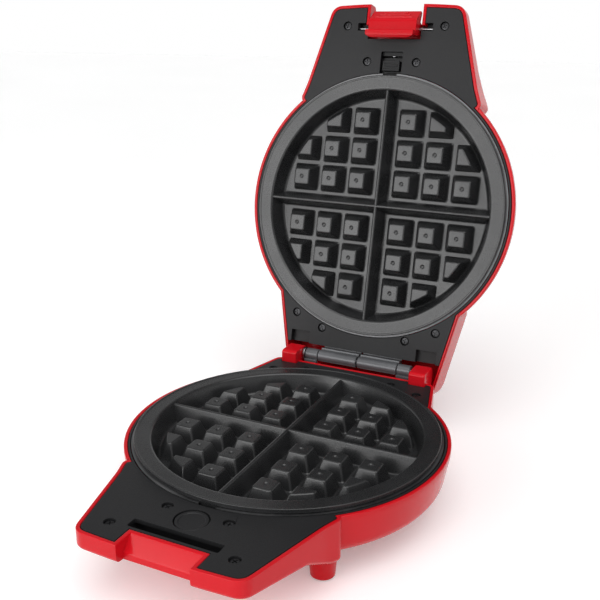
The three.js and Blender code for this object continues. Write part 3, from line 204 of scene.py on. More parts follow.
def lathe(profile, segments=ROUND, closed=False):
    """Turns a profile of radius and height about Z. It ends on the axis, or closes on itself."""
    verts, faces, rings = [], [], []
    for radius, z in profile:
        if radius <= 1e-6:
            rings.append([len(verts)])
            verts.append((0, 0, z))
            continue
        rings.append([len(verts) + at for at in range(segments)])
        for at in range(segments):
            angle = 2 * math.pi * at / segments
            verts.append((radius * math.sin(angle), radius * math.cos(angle), z))
    following = rings[1:] + rings[:1] if closed else rings[1:]
    for low, high in zip(rings, following):
        for at in range(segments):
            after = (at + 1) % segments
            if len(low) == 1:
                faces.append((low[0], high[at], high[after]))
            elif len(high) == 1:
                faces.append((low[at], low[after], high[0]))
            else:
                faces.append((low[at], low[after], high[after], high[at]))
    return make("turned", verts, faces)


def moved(obj, x, y, z=0, turn=0, axis="Z"):
    obj.data.transform(Matrix.Translation((x, y, z)) @ Matrix.Rotation(turn, 4, axis))
    return obj


def post(radius, bottom, top, x, y, sides=SMALL, top_radius=None):
    end = radius if top_radius is None else top_radius
    return moved(lathe([(0, bottom), (radius, bottom), (end, top), (0, top)], sides), x, y)


def rod(radius, left, right, y, z, sides=SMALL):
    """A round bar along X."""
    return moved(post(radius, left, right, 0, 0, sides), 0, y, z, QUARTER, "Y")


def duct(radius, front, rear, x, z, sides=SMALL):
    """A round bar along Y."""
    return moved(post(radius, front, rear, 0, 0, sides), x, 0, z, -QUARTER, "X")


def boolean(target, tool, operation):
    step = target.modifiers.new("join", "BOOLEAN")
    step.solver = "MANIFOLD"
    step.operation = operation
    step.object = tool
    bpy.context.view_layer.update()
    evaluated = target.evaluated_get(bpy.context.evaluated_depsgraph_get())
    result = bpy.data.meshes.new_from_object(evaluated)
    target.modifiers.clear()
    old = target.data
    target.data = result
    bpy.data.meshes.remove(old)
    bpy.data.objects.remove(tool)
    return target


def add(target, *tools):
    for tool in tools:
        boolean(target, tool, "UNION")
    return target


def cut(target, *tools):
    for tool in tools:
        boolean(target, tool, "DIFFERENCE")
    return target


def common(target, tool):
    return boolean(target, tool, "INTERSECT")


def copy(obj, matrix=None):
    twin = obj.copy()
    twin.data = obj.data.copy()
    bpy.context.scene.collection.objects.link(twin)
    if matrix is not None:
        twin.data.transform(matrix)
    return twin


def merged(objects):
    """Puts several meshes into one object without joining their surfaces."""
    whole = bmesh.new()
    for obj in objects:
        whole.from_mesh(obj.data)
        bpy.data.objects.remove(obj)
    mesh = bpy.data.meshes.new("merged")
    whole.to_mesh(mesh)
    whole.free()
    result = bpy.data.objects.new("merged", mesh)
    bpy.context.scene.collection.objects.link(result)
    return result


def round_edges(obj, width, where=None, segments=2, angle=32):
    """Rounds the sharp edges for which where(middle, edge) holds."""
    bm = bmesh.new()
    bm.from_mesh(obj.data)
    bmesh.ops.remove_doubles(bm, verts=bm.verts, dist=EXACT)
    bmesh.ops.dissolve_degenerate(bm, edges=bm.edges, dist=EXACT)
    limit = math.radians(angle)
    picked = []
    for edge in bm.edges:
        if len(edge.link_faces) != 2 or edge.calc_face_angle(0) < limit:
            continue
        middle = (edge.verts[0].co + edge.verts[1].co) / 2
        if where is None or where(middle, edge):
            picked.append(edge)
    if picked:
        bmesh.ops.bevel(
            bm, geom=picked, offset=width, segments=segments, profile=0.5,
            affect="EDGES", clamp_overlap=False, loop_slide=True,
        )
    bm.to_mesh(obj.data)
    bm.free()
    return obj


def smooth(obj, angle):
    """Smooth shading, with edges sharper than the angle kept."""
    bm = bmesh.new()
    bm.from_mesh(obj.data)
    limit = math.radians(angle)
    for face in bm.faces:
        face.smooth = True
    for edge in bm.edges:
        edge.smooth = len(edge.link_faces) == 2 and edge.calc_face_angle(0) < limit
    bm.to_mesh(obj.data)
    bm.free()
    weigh = obj.modifiers.new("normals", "WEIGHTED_NORMAL")
    weigh.keep_sharp = True
    weigh.weight = 60


# Places
plate_low, plate_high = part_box("lower_waffle_plate")
PLATE_TOP = 3.05
deck_origin = Vector((
    (plate_low[0] + plate_high[0]) / 2,
    (plate_low[1] + plate_high[1]) / 2,
    plate_high[2] - PLATE_TOP * MM,
))
BASE = Matrix.Translation(deck_origin) @ Matrix.Scale(MM, 4)
LID = (
    BASE
    @ Matrix.Translation((0, HINGE_Y, HINGE_Z))
    @ Matrix.Rotation(-OPEN_ANGLE, 4, "X")
    @ Matrix.Translation((0, -HINGE_Y, DECK_GAP - HINGE_Z))
    @ Matrix.Rotation(math.pi, 4, "Y")
)


PLACES = {"base": BASE, "button": BASE, "lid": LID, "latch": LID, "slider": LID}


def finished(obj, name, body, material, node, angle=32):
    """Puts a piece made in millimetres where it belongs and lets it stand for a CAD node."""
    obj.data.transform(PLACES[body])
    obj.data.update()
    obj.name = name
    obj.data.name = name
    smooth(obj, angle)
    obj.data.materials.clear()
    obj.data.materials.append(material)
    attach(obj, body)
    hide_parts(node)


# Materials
PATCH_LOW, PATCH_HIGH = 0.35, 0.65
BUMP_DISTANCE = 0.0002


def object_noise(nodes, links, scale, detail, stretch):
    where = nodes.new("ShaderNodeTexCoord")
    mapping = nodes.new("ShaderNodeMapping")
    mapping.inputs["Scale"].default_value = stretch
    noise = nodes.new("ShaderNodeTexNoise")
    noise.inputs["Scale"].default_value = scale
    noise.inputs["Detail"].default_value = detail
    links.new(where.outputs["Object"], mapping.inputs["Vector"])
    links.new(mapping.outputs["Vector"], noise.inputs["Vector"])
    return noise


def ramp_between(nodes, links, source, low, high, start=PATCH_LOW, end=PATCH_HIGH):
    ramp = nodes.new("ShaderNodeMapRange")
    ramp.inputs["From Min"].default_value = start
    ramp.inputs["From Max"].default_value = end
    ramp.inputs["To Min"].default_value = low
    ramp.inputs["To Max"].default_value = high
    links.new(source, ramp.inputs["Value"])
    return ramp.outputs["Result"]


def color_between(nodes, links, source, first, second):
    ramp = nodes.new("ShaderNodeValToRGB")
    ramp.color_ramp.elements[0].position = PATCH_LOW
    ramp.color_ramp.elements[0].color = (*first, 1)
    ramp.color_ramp.elements[1].position = PATCH_HIGH
    ramp.color_ramp.elements[1].color = (*second, 1)
    links.new(source, ramp.inputs["Fac"])
    return ramp.outputs["Color"]


def textured(
    name, first, second, rough, grain, bump,
    metallic=0.0, patch=18.0, stretch=(1, 1, 1), specular=0.5,
):
    """A moulded, cast or drawn surface: slow patches of colour and gloss over a fine grain.

    rough is the least and the most roughness of the patches, and what the grain adds to it.
    """
    material = bpy.data.materials.new(name)
    material.use_nodes = True
    nodes, links = material.node_tree.nodes, material.node_tree.links
    shader = nodes["Principled BSDF"]
    for socket, value in (
        ("Base Color", (*first, 1)), ("Roughness", rough[0]), ("Metallic", metallic),
        ("Specular IOR Level", specular),
    ):
        shader.inputs[socket].default_value = value
    slow = object_noise(nodes, links, patch, 4.0, stretch).outputs["Fac"]
    fine = object_noise(nodes, links, grain, 2.0, stretch).outputs["Fac"]
    links.new(color_between(nodes, links, slow, first, second), shader.inputs["Base Color"])
    total = nodes.new("ShaderNodeMath")
    total.operation = "ADD"
    links.new(ramp_between(nodes, links, slow, rough[0], rough[1]), total.inputs[0])
    links.new(ramp_between(nodes, links, fine, -rough[2], rough[2]), total.inputs[1])
    links.new(total.outputs["Value"], shader.inputs["Roughness"])
    relief = nodes.new("ShaderNodeBump")
    relief.inputs["Strength"].default_value = bump
    relief.inputs["Distance"].default_value = BUMP_DISTANCE
    links.new(fine, relief.inputs["Height"])
    links.new(relief.outputs["Normal"], shader.inputs["Normal"])
    return material


RED = textured(
    "red_gloss_plastic", (0.55, 0.005, 0.011), (0.6, 0.007, 0.014),
    rough=(0.15, 0.2, 0.02), grain=900, bump=0.04, specular=0.2,
)
BLACK = textured(
    "black_satin_plastic", (0.01, 0.01, 0.011), (0.014, 0.014, 0.015),
    rough=(0.42, 0.52, 0.05), grain=1600, bump=0.35, specular=0.33,
)
COATING = textured(
    "non_stick_coating", (0.016, 0.0163, 0.017), (0.023, 0.0234, 0.0243),
    rough=(0.25, 0.32, 0.04), grain=2200, bump=0.2, patch=30, specular=0.6,
)
BARREL = textured(
    "barrel_paint", (0.1, 0.102, 0.108), (0.13, 0.132, 0.14),
    rough=(0.3, 0.4, 0.04), grain=1800, bump=0.2, metallic=0.3, patch=40,
)
STEEL = textured(
    "drawn_steel", (0.3, 0.3, 0.31), (0.4, 0.4, 0.41),
    rough=(0.22, 0.32, 0.04), grain=1200, bump=0.15, metallic=1.0, patch=60, stretch=(0.15, 1, 1),
)
SCREW = textured(
    "blackened_steel", (0.035, 0.035, 0.037), (0.055, 0.055, 0.058),
    rough=(0.3, 0.4, 0.05), grain=1500, bump=0.2, metallic=0.7, patch=60,
)
SHEATH = textured(
    "heater_sheath", (0.16, 0.155, 0.15), (0.28, 0.27, 0.26),
    rough=(0.4, 0.55, 0.06), grain=900, bump=0.3, metallic=0.9, patch=50,
)
SHEET = textured(
    "pressed_aluminium", (0.16, 0.16, 0.165), (0.26, 0.26, 0.265),
    rough=(0.45, 0.6, 0.05), grain=700, bump=0.2, metallic=1.0, patch=30, stretch=(1, 0.1, 1),
)
CERAMIC = textured(
    "unglazed_ceramic", (0.66, 0.62, 0.53), (0.74, 0.7, 0.61),
    rough=(0.6, 0.75, 0.06), grain=1500, bump=0.5,
)
SLEEVE = textured(
    "glass_sleeve", (0.6, 0.59, 0.54), (0.72, 0.71, 0.66),
    rough=(0.7, 0.85, 0.06), grain=2600, bump=0.8,
)
RUBBER = textured(
    "moulded_rubber", (0.012, 0.012, 0.012), (0.02, 0.02, 0.02),
    rough=(0.7, 0.85, 0.05), grain=1800, bump=0.6,
)
LENS_RED = textured(
    "red_lens", (0.5, 0.02, 0.015), (0.6, 0.03, 0.02),
    rough=(0.08, 0.12, 0.01), grain=400, bump=0.03,
)
LENS_GREEN = textured(
    "green_lens", (0.03, 0.32, 0.06), (0.04, 0.4, 0.08),
    rough=(0.08, 0.12, 0.01), grain=400, bump=0.03,
)


# Outlines
def curve_points(start, middle, end, steps=5):
    """A quadratic curve from start to end that leans towards middle."""
    a, b, c = Vector(start), Vector(middle), Vector(end)
    points = []
    for step in range(steps + 1):
        t = step / steps
        points.append(tuple(a * (1 - t) ** 2 + b * 2 * t * (1 - t) + c * t ** 2))
    return points


def softened(corners, divisions=8):
    """An outline whose corners are rounded by their third value, if they have one."""
    points = []
    count = len(corners)
    for at, corner in enumerate(corners):
        here = Vector(corner[:2])
        if len(corner) < 3:
            points.append(tuple(here))
            continue
        start = here + (Vector(corners[at - 1][:2]) - here).normalized() * corner[2]
        end = here + (Vector(corners[(at + 1) % count][:2]) - here).normalized() * corner[2]
        points += curve_points(start, here, end, divisions)
    return points


def soft_box(half, front, rear, corner):
    """A cut through a panel, with rounded corners."""
    corners = [
        (-half, front, corner), (half, front, corner), (half, rear, corner), (-half, rear, corner),
    ]
    return prism(softened(corners, 4), BELOW, OVERRUN)


def inset(points, distance):
    """Moves each edge of an anticlockwise outline inwards."""
    result = []
    count = len(points)
    for at, point in enumerate(points):
        here = Vector(point)
        before = (here - Vector(points[at - 1])).normalized()
        after = (Vector(points[(at + 1) % count]) - here).normalized()
        normal = Vector((-(before.y + after.y), before.x + after.x)).normalized()
        lean = normal.dot(Vector((-before.y, before.x)))
        result.append(tuple(here + normal * (distance / lean)))
    return result


def tray_outline(rear, rear_half):
    """The flared handle and the flared rear. The drum is added to them."""
    half = [
        (HANDLE_HALF / 2, -HANDLE_REACH + HANDLE_BOW / 4, HANDLE_CORNER),
        (HANDLE_HALF, -HANDLE_REACH + HANDLE_BOW, HANDLE_CORNER),
        (NECK_HALF, -NECK_REACH, SOFT_CORNER),
        (SHOULDER_HALF, -SHOULDER_REACH, SOFT_CORNER),
        (SHOULDER_HALF - DRUM_SHOULDER, -SHOULDER_REACH + DRUM_SHOULDER),
        (REAR_START_HALF - DRUM_SHOULDER, REAR_START - DRUM_SHOULDER),
        (REAR_START_HALF, REAR_START, SOFT_CORNER),
        (rear_half, rear, TAIL_CORNER),
    ]
    other = [(-c[0], *c[1:]) for c in reversed(half)]
    return softened(half + other)


def drum_profile(wall, floor, crown, top):
    deep = DEPTH - floor
    rim = DRUM_RADIUS - wall
    side = (rim - DRUM_DRAFT * TURN_DRAFT, -deep * TURN_SHARE)
    corner = (rim - DRUM_DRAFT * CORNER_DRAFT, -deep)
    foot = (DRUM_RADIUS - DRUM_SHOULDER - wall - DRUM_FOOT_IN, -deep - crown * CROWN_EDGE)
    profile = [(0, top), (rim, top)]
    if top > 0:
        profile.append((rim, 0))
    profile.append((rim, -DEPTH * PLUMB_SHARE))
    profile += curve_points(side, corner, foot, 10)
    steps = CROWN_STEPS if crown else FLAT_STEPS
    for step in range(1, steps + 1):
        share = 1 - step / steps
        profile.append((foot[0] * share, -deep - crown * (1 - share ** 2)))
    return profile


def is_bottom_edge(middle, edge):
    """Edges of the underside, but not the plumb ones nor the seam in the middle."""
    lowest, tallest, seam_half = -8, 12, 5
    tall = abs(edge.verts[0].co.z - edge.verts[1].co.z)
    return middle.z < lowest and tall < tallest and abs(middle.x) > seam_half


def tray_volume(outline, rear, slope, crown, wall=0, floor=0):
    """The body of a tray, or the room inside it if a wall is given."""
    top = OPEN_TOP if wall else 0
    end = rear - wall
    under = [(-HANDLE_REACH * reach, floor - DEPTH * deep) for reach, deep in UNDERSIDE]
    side = [(-FAR, top), (-FAR, under[0][1])] + under
    if slope:
        side += [(end - slope, floor - DEPTH), (end, floor - DEPTH + slope)]
    else:
        side.append((end, floor - DEPTH))
    side.append((end, top))
    flared = prism(inset(outline, wall) if wall else outline, -DEPTH * 2, top)
    common(flared, across(side, -FAR, FAR))
    if not wall:
        round_edges(flared, BOTTOM_ROUND, is_bottom_edge, 4, 25)
    return add(flared, lathe(drum_profile(wall, floor, crown, top)))


def recess_side(shift):
    return [
        (-FAR, OVERRUN), (-NOTCH_REAR + shift, OVERRUN), (-NOTCH_REAR + shift, 0),
        (-LEDGE_REACH + shift, -LEDGE_DROP), (-LEDGE_REACH + shift, -DEPTH * 2),
        (-FAR, -DEPTH * 2),
    ]


RECESS_SHIFT = NOTCH_WALL * math.hypot(LEDGE_REACH - NOTCH_REAR, LEDGE_DROP) / LEDGE_DROP
base_outline = tray_outline(BASE_REAR, BASE_REAR_HALF)
lid_outline = tray_outline(LID_REAR, LID_REAR_HALF)


# Base shell
EAR_INNER, EAR_OUTER, EAR_RADIUS, EAR_FRONT, EAR_CHAMFER = 44.0, 56.0, 5.5, 101.5, 2.2
EAR_BASE, EAR_HEEL, EAR_ROOT = -5.0, -1.0, 14.0
EAR_LEAN, EAR_SAG, EAR_RUN = 0.4, 0.3, 1.3
EAR_STEPS = 16
PIN_RADIUS, PIN_BORE_HALF = 2.0, 52.5
LEAF_TOP, LEAF_THICK = -4.6, 2.0
LEAF_SLOT = (28, 42)
GLAND_X, GLAND_Z, GLAND_RADIUS = -30.0, -18.8, 4.4
FEET = [(55, -68.05), (52, 90)]
FOOT_TOP, FOOT_BOTTOM, FOOT_LENGTH, FOOT_SINK = 8.5, 7.0, 15.8, 1.0
PAD_RADIUS, PAD_SINK = 5.2, 0.9
FOOT_END = -(DEPTH + FOOT_LENGTH)
RIM_END = 108.5


def is_ledge_edge(middle, edge):
    at_edge = abs(middle.z + LEDGE_DROP) < NEAR and abs(middle.y + LEDGE_REACH) < NEAR
    return at_edge and abs(middle.x) < NOTCH_BASE_HALF


base_shell = tray_volume(base_outline, BASE_REAR, 0, 0)
inner = tray_volume(base_outline, BASE_REAR, 0, 0, WALL, FLOOR)
whole = copy(base_shell)
cheeks = across(recess_side(RECESS_SHIFT), -NOTCH_BASE_HALF - WALL, NOTCH_BASE_HALF + WALL)
common(cheeks, whole)
cut(base_shell, inner)
add(base_shell, cheeks)
ear_top = HINGE_Z + EAR_RADIUS
ear_side = [(EAR_FRONT, EAR_BASE)]
ear_side += curve_points(
    (EAR_FRONT, ear_top - EAR_CHAMFER), (EAR_FRONT + EAR_LEAN, ear_top - EAR_SAG),
    (EAR_FRONT + EAR_CHAMFER * EAR_RUN, ear_top), 6,
)
for step in range(EAR_STEPS + 1):
    angle = QUARTER * step / EAR_STEPS
    ear_side.append((
        HINGE_Y + EAR_RADIUS * math.sin(angle), HINGE_Z + EAR_RADIUS * math.cos(angle),
    ))
ear_side += [
    (HINGE_Y + EAR_RADIUS, EAR_HEEL), (BASE_REAR, -EAR_ROOT), (BASE_REAR - WALL, -EAR_ROOT),
]
for side, *_ in SIDES:
    ear = across(ear_side, *span(side, EAR_INNER, EAR_OUTER))
    round_edges(ear, EDGE_ROUND, lambda middle, edge: middle.z > -0.5, 3)
    add(base_shell, ear)
for x, y in FEET:
    for side, *_ in SIDES:
        foot = post(FOOT_BOTTOM, FOOT_END, -DEPTH + FOOT_SINK, side * x, y, FINE, FOOT_TOP)
        add(base_shell, foot)
        pocket_top = FOOT_END + PAD_SINK + CLEAR
        pocket = post(PAD_RADIUS + CLEAR, FOOT_END - OVERRUN, pocket_top, side * x, y, FINE)
        cut(base_shell, pocket)
cut(
    base_shell,
    across(recess_side(0), -NOTCH_BASE_HALF, NOTCH_BASE_HALF),
    rod(PIN_RADIUS + CLEAR, -PIN_BORE_HALF, PIN_BORE_HALF, HINGE_Y, HINGE_Z),
    duct(GLAND_RADIUS + CLEAR, BASE_REAR - OVERRUN, BASE_REAR + OVERRUN, GLAND_X, GLAND_Z),
    *side_boxes(
        *LEAF_SLOT, BASE_REAR - WALL - INWARD, BASE_REAR + OVERRUN,
        LEAF_TOP - LEAF_THICK - CLEAR, LEAF_TOP + CLEAR,
    ),
)
round_edges(
    base_shell, RIM_ROUND, lambda middle, edge: abs(middle.z) < NEAR and middle.y < RIM_END, 3,
)
round_edges(base_shell, EDGE_ROUND, is_ledge_edge, 4)
finished(base_shell, "base_shell_moulding", "base", RED, "base_shell")


# Lid shell
LAMP_X, LAMP_Y, LAMP_RADIUS = 24.0, -117.5, 4.0
EAR_ROOM, REAR_SILL = 1.2, -3.75
PIN_POST, PIN_POST_HALF, PIN_POST_UNDER, PIN_POST_TOP = (28.8, 32.2), 3.5, -11.5, -2.8
PIN_GROOVE_REACH, PIN_GROOVE_HALF = 31.3, 1.4

lid_shell = tray_volume(lid_outline, LID_REAR, REAR_SLOPE, CROWN)
inner = tray_volume(lid_outline, LID_REAR, REAR_SLOPE, CROWN, WALL, FLOOR)
whole = copy(lid_shell)
cheeks = middle_box(NOTCH_LID_HALF + WALL, -FAR, -NOTCH_REAR + WALL, -DEPTH * 2, 0)
common(cheeks, whole)
cut(lid_shell, inner)
add(lid_shell, cheeks)
cut(
    lid_shell,
    middle_box(NOTCH_LID_HALF, -FAR, -NOTCH_REAR, -DEPTH * 2, OVERRUN),
    middle_box(
        NOTCH_LID_HALF, -NOTCH_REAR - OVERRUN, -NOTCH_REAR + WALL + OVERRUN, -SILL_DROP, OVERRUN,
    ),
    middle_box(
        EAR_OUTER + EAR_ROOM, LID_REAR - WALL - INWARD, LID_REAR + OVERRUN, REAR_SILL, OVERRUN,
    ),
    *[post(LAMP_RADIUS + CLEAR, -DEPTH * 2, -DEPTH / 4, x, LAMP_Y) for x in (LAMP_X, -LAMP_X)],
)
add(lid_shell, *side_boxes(
    *PIN_POST, PIN_Y - PIN_POST_HALF, PIN_Y + PIN_POST_HALF, PIN_POST_UNDER, PIN_POST_TOP,
))
cut(lid_shell, middle_box(
    PIN_GROOVE_REACH, PIN_Y - PIN_GROOVE_HALF, PIN_Y + PIN_GROOVE_HALF, PIN_Z - PIN_GROOVE_HALF, 0,
))
round_edges(lid_shell, RIM_ROUND, lambda middle, edge: abs(middle.z) < NEAR, 3)
finished(lid_shell, "lid_shell_moulding", "lid", RED, "lid_shell")


# Panels
def panel_blank(outline, rear):
    """A panel with its plate hole and screw cups."""
    margin = WALL + CLEAR
    disc = DRUM_RADIUS - margin
    blank = prism(inset(outline, margin), -PANEL, 0)
    common(blank, middle_box(FAR, -FAR, rear, -FAR, FAR))
    add(blank, lathe([(0, -PANEL), (disc, -PANEL), (disc, 0), (0, 0)]))
    cut(blank, lathe([(0, -FAR), (PLATE_HOLE, -FAR), (PLATE_HOLE, FAR), (0, FAR)]))
    for x, y in SCREWS.values():
        for side, *_ in SIDES:
            cup_low, cup_high = WELL_FLOOR - CUP_UNDER, -PANEL / 2
            add(blank, post(WELL_RADIUS + CUP_SIDE, cup_low, cup_high, side * x, y))
            cut(blank, post(WELL_RADIUS, WELL_FLOOR, OVERRUN, side * x, y))
    return blank


def is_top_edge(middle, edge):
    return middle.z > -NEAR


def with_shade_sheets(panel, middles, sides):
    """Adds thin black walls and floors under the openings: painted shade, dark sheets that stand in
    for the shade inside the shell.

    Those in the middle give half width, front, rear, bottom and top. Those on both sides give
    inner and outer end in place of the half width.
    """
    pieces = [panel] + [middle_box(*sizes) for sizes in middles]
    for sizes in sides:
        pieces += side_boxes(*sizes)
    return merged(pieces)


SLOT_HALF, SLOT_FRONT, SLOT_REAR, SLOT_CORNER = 27.0, -129.7, -122.6, 1.2
BUTTON_HOLE = 9.7
# Black walls and floors under the latch slot and the button hole: painted shade, dark sheets put
# where only shade falls inside the base.
HOOK_SHADE_SHEETS = [
    (28.6, -131.3, -130.3, -9.3, -2.4), (28.6, -130.3, -118.3, -9.3, -8.5),
    (6.4, -119.3, -118.3, -8.6, -5),
]
HOOK_SHADE_SHEET_SIDES = [
    (6.4, 28.6, -119.3, -118.3, -8.6, -2.4), (27.6, 28.6, -130.4, -119.2, -8.6, -2.4),
]

base_panel = panel_blank(base_outline, BASE_PANEL_REAR)
cut(
    base_panel,
    middle_box(
        NOTCH_BASE_HALF + WALL + CLEAR, -FAR, -NOTCH_REAR + RECESS_SHIFT + CLEAR, BELOW, OVERRUN,
    ),
    soft_box(SLOT_HALF, SLOT_FRONT, SLOT_REAR, SLOT_CORNER),
    post(BUTTON_HOLE, BELOW, OVERRUN, 0, BUTTON_Y, BUTTON_SIDES),
    *side_boxes(EAR_INNER - CLEAR, EAR_OUTER + CLEAR, EAR_FRONT - CLEAR, FAR, BELOW, OVERRUN),
)
round_edges(base_panel, PANEL_ROUND, is_top_edge)
# The painted-shade sheets are merged into the base deck and take its black.
base_panel = with_shade_sheets(base_panel, HOOK_SHADE_SHEETS, HOOK_SHADE_SHEET_SIDES)
finished(base_panel, "base_deck", "base", BLACK, "base_panel")

LATCH_OPENING_REAR = -121.4
PIN_SLOT_HALF, PIN_SLOT_FRONT, PIN_SLOT_REAR = 28.5, -132.8, -127.4
SLIDER_HALF, SLIDER_FRONT, SLIDER_REAR, SLIDER_CORNER = 8.2, -112.3, -96.5, 0.8
HOLLOW_INNER, HOLLOW_OUTER, HOLLOW_FRONT = 42.5, 57.5, 100.0
# Black walls and floors under the slider opening, the ear hollows and the pin slots: painted shade,
# dark sheets put where only shade falls inside the lid.
SLIDER_SHADE_SHEETS = [
    (8.8, -114.5, -109.7, -4.4, -3.4), (8.8, -114.5, -113.5, -3.5, -2.4),
    (13.5, -114.5, -99, -11.4, -10.4),
]
EAR_SHADE_SHEETS = [
    (41.5, 58.5, 99, 109, -5.6, -4.6), (41.5, 58.5, 99, 100, -4.7, -2.4),
    (41.5, 42.5, 99.9, 109, -4.7, -2.4), (57.5, 58.5, 99.9, 109, -4.7, -2.4),
]
PIN_SHADE_SHEETS = [
    (18.6, 28.6, -133.3, -126.7, -8.2, -7.2), (20.4, 28.6, -127.4, -126.4, -7.3, -2.4),
    (22.6, 28.6, -133.8, -132.8, -7.3, -2.4), (28, 28.7, -133.6, -126.6, -7.3, -2.4),
]

lid_panel = panel_blank(lid_outline, LID_PANEL_REAR)
cut(
    lid_panel,
    middle_box(NOTCH_LID_HALF + WALL + CLEAR, -FAR, -NOTCH_REAR + WALL + CLEAR, BELOW, OVERRUN),
    middle_box(NOTCH_LID_HALF, -FAR, LATCH_OPENING_REAR, BELOW, OVERRUN),
    middle_box(PIN_SLOT_HALF, PIN_SLOT_FRONT, PIN_SLOT_REAR, BELOW, OVERRUN),
    soft_box(SLIDER_HALF, SLIDER_FRONT, SLIDER_REAR, SLIDER_CORNER),
    *side_boxes(HOLLOW_INNER, HOLLOW_OUTER, HOLLOW_FRONT, FAR, BELOW, OVERRUN),
)
round_edges(lid_panel, PANEL_ROUND, is_top_edge)
# The painted-shade sheets are merged into the lid deck and take its black.
lid_panel = with_shade_sheets(lid_panel, SLIDER_SHADE_SHEETS, EAR_SHADE_SHEETS + PIN_SHADE_SHEETS)
finished(lid_panel, "lid_deck", "lid", BLACK, "lid_panel")


# Waffle plates
FLANGE, FLANGE_TOP, FLANGE_UNDER = 95.0, 2.6, 0.4
LIP_WIDE, LIP_RISE = 1.6, 0.45
RIM, CUP_FLOOR_RADIUS, CUP_FLOOR, CUP_WALL = 84.6, 80.6, -10.5, 2.5
RIDGE_RISE, RIDGE_TOP, RIDGE_FOOT, RIDGE_SPARE = 12.0, 1.8, 9.0, 0.6
STUD_FOOT, STUD_TOP, STUD_RISE = 19.0, 11.7, 10.5
STUD_PITCH, STUD_FIRST, STUD_CLIP = 22.4, 17.6, 75.0
DIMPLE_RADIUS, DIMPLE_DEEP = 1.7, 0.8
# Boxes: half width, front, rear, bottom, top
LUG, LUG_BITE = (5, -94.6, -91, -9, 1), (9, -99, -93, -7.3, -4.5)
# Radii of the casting's rounded edges, and how far a foot sinks into the floor
LIP_ROUND, RIM_BLEND, FLOOR_BLEND, UNDER_BLEND = 0.5, 1.6, 2.2, 3.4
RIDGE_FOOT_BLEND, RIDGE_TOP_ROUND = 1.3, 0.8
STUD_FOOT_BLEND, STUD_TOP_ROUND, CLIP_ROUND = 1.1, 0.9, 0.8
SKIN = 0.02


def cup():
    """The flange and the sunken round cavity, turned from the underside to the floor."""
    lip = FLANGE - LIP_WIDE
    top = FLANGE_TOP + LIP_RISE
    under = CUP_FLOOR - CUP_WALL
    slope = Vector((RIM - CUP_FLOOR_RADIUS, FLANGE_TOP - CUP_FLOOR)).normalized()
    rim = Vector((RIM, FLANGE_TOP))
    foot = Vector((CUP_FLOOR_RADIUS, CUP_FLOOR))
    profile = [(0, under), (CUP_FLOOR_RADIUS - 1, under)]
    profile += curve_points(
        (CUP_FLOOR_RADIUS, under), (CUP_FLOOR_RADIUS + FLOOR_BLEND, under),
        (CUP_FLOOR_RADIUS + UNDER_BLEND, under + 2),
    )
    profile += [(RIM + CUP_WALL, FLANGE_UNDER), (FLANGE - 0.3, FLANGE_UNDER)]
    profile.append((FLANGE, FLANGE_UNDER + 0.3))
    profile += curve_points((FLANGE, top - LIP_ROUND), (FLANGE, top), (FLANGE - LIP_ROUND, top), 4)
    profile += curve_points((lip + LIP_ROUND, top), (lip + 0.1, top), (lip, FLANGE_TOP + 0.1), 4)
    profile.append((lip - LIP_ROUND, FLANGE_TOP))
    profile += curve_points((RIM + RIM_BLEND, FLANGE_TOP), rim, rim - slope * RIM_BLEND, 6)
    profile += curve_points(
        foot + slope * FLOOR_BLEND, foot, (CUP_FLOOR_RADIUS - FLOOR_BLEND, CUP_FLOOR), 8,
    )
    profile += [(CUP_FLOOR_RADIUS * 0.5, CUP_FLOOR), (0, CUP_FLOOR)]
    return lathe(profile, PLATE_SIDES)


def square_ring(half, corner, z, per_corner=6):
    """A square with rounded corners, or a circle if corner is half."""
    ring = []
    for turn in range(4):
        for step in range(per_corner + 1):
            angle = QUARTER * (turn + step / per_corner)
            x = (half - corner) * (1 if turn in (0, 3) else -1)
            y = (half - corner) * (1 if turn in (0, 1) else -1)
            ring.append((x + corner * math.cos(angle), y + corner * math.sin(angle), z))
    return ring


def stud_rings():
    """The rings of a stud from its foot up, with the dimple in its top."""
    foot, top = STUD_FOOT / 2, STUD_TOP / 2
    root_corner, foot_corner, top_corner = 1.8, 1.7, 1.3
    slope = Vector((top - foot, STUD_RISE)).normalized()
    low = Vector((foot, CUP_FLOOR))
    high = Vector((top, CUP_FLOOR + STUD_RISE))
    rings = [square_ring(foot + STUD_FOOT_BLEND, root_corner, CUP_FLOOR - 0.4)]
    level = high.y
    for half, z in curve_points((foot + 1.0, CUP_FLOOR - SKIN), low, low + slope * STUD_FOOT_BLEND):
        rings.append(square_ring(half, foot_corner, z))
    for half, z in curve_points(high - slope * STUD_TOP_ROUND, high, (top - STUD_TOP_ROUND, level)):
        rings.append(square_ring(half, top_corner, z))
    for radius, z in (
        (DIMPLE_RADIUS + 0.7, level), (DIMPLE_RADIUS, level),
        (DIMPLE_RADIUS * 0.75, level - DIMPLE_DEEP * 0.6),
        (DIMPLE_RADIUS * 0.3, level - DIMPLE_DEEP),
    ):
        rings.append(square_ring(radius, radius, z))
    return rings


def stud(x, y):
    return moved(rings_to_mesh(stud_rings()), x, y)


def clipped_stud(x, y, limit):
    """A stud that the round edge of the cavity cuts off."""
    low = square_ring(STUD_FOOT / 2 + 0.04, 1.4, CUP_FLOOR - 0.1, 4)
    high = square_ring(STUD_TOP / 2, 1.0, CUP_FLOOR + STUD_RISE, 4)
    obj = common(moved(rings_to_mesh([low, high]), x, y), copy(limit))
    return round_edges(obj, CLIP_ROUND, lambda middle, edge: middle.z > CUP_FLOOR + 0.2, 3, 25)


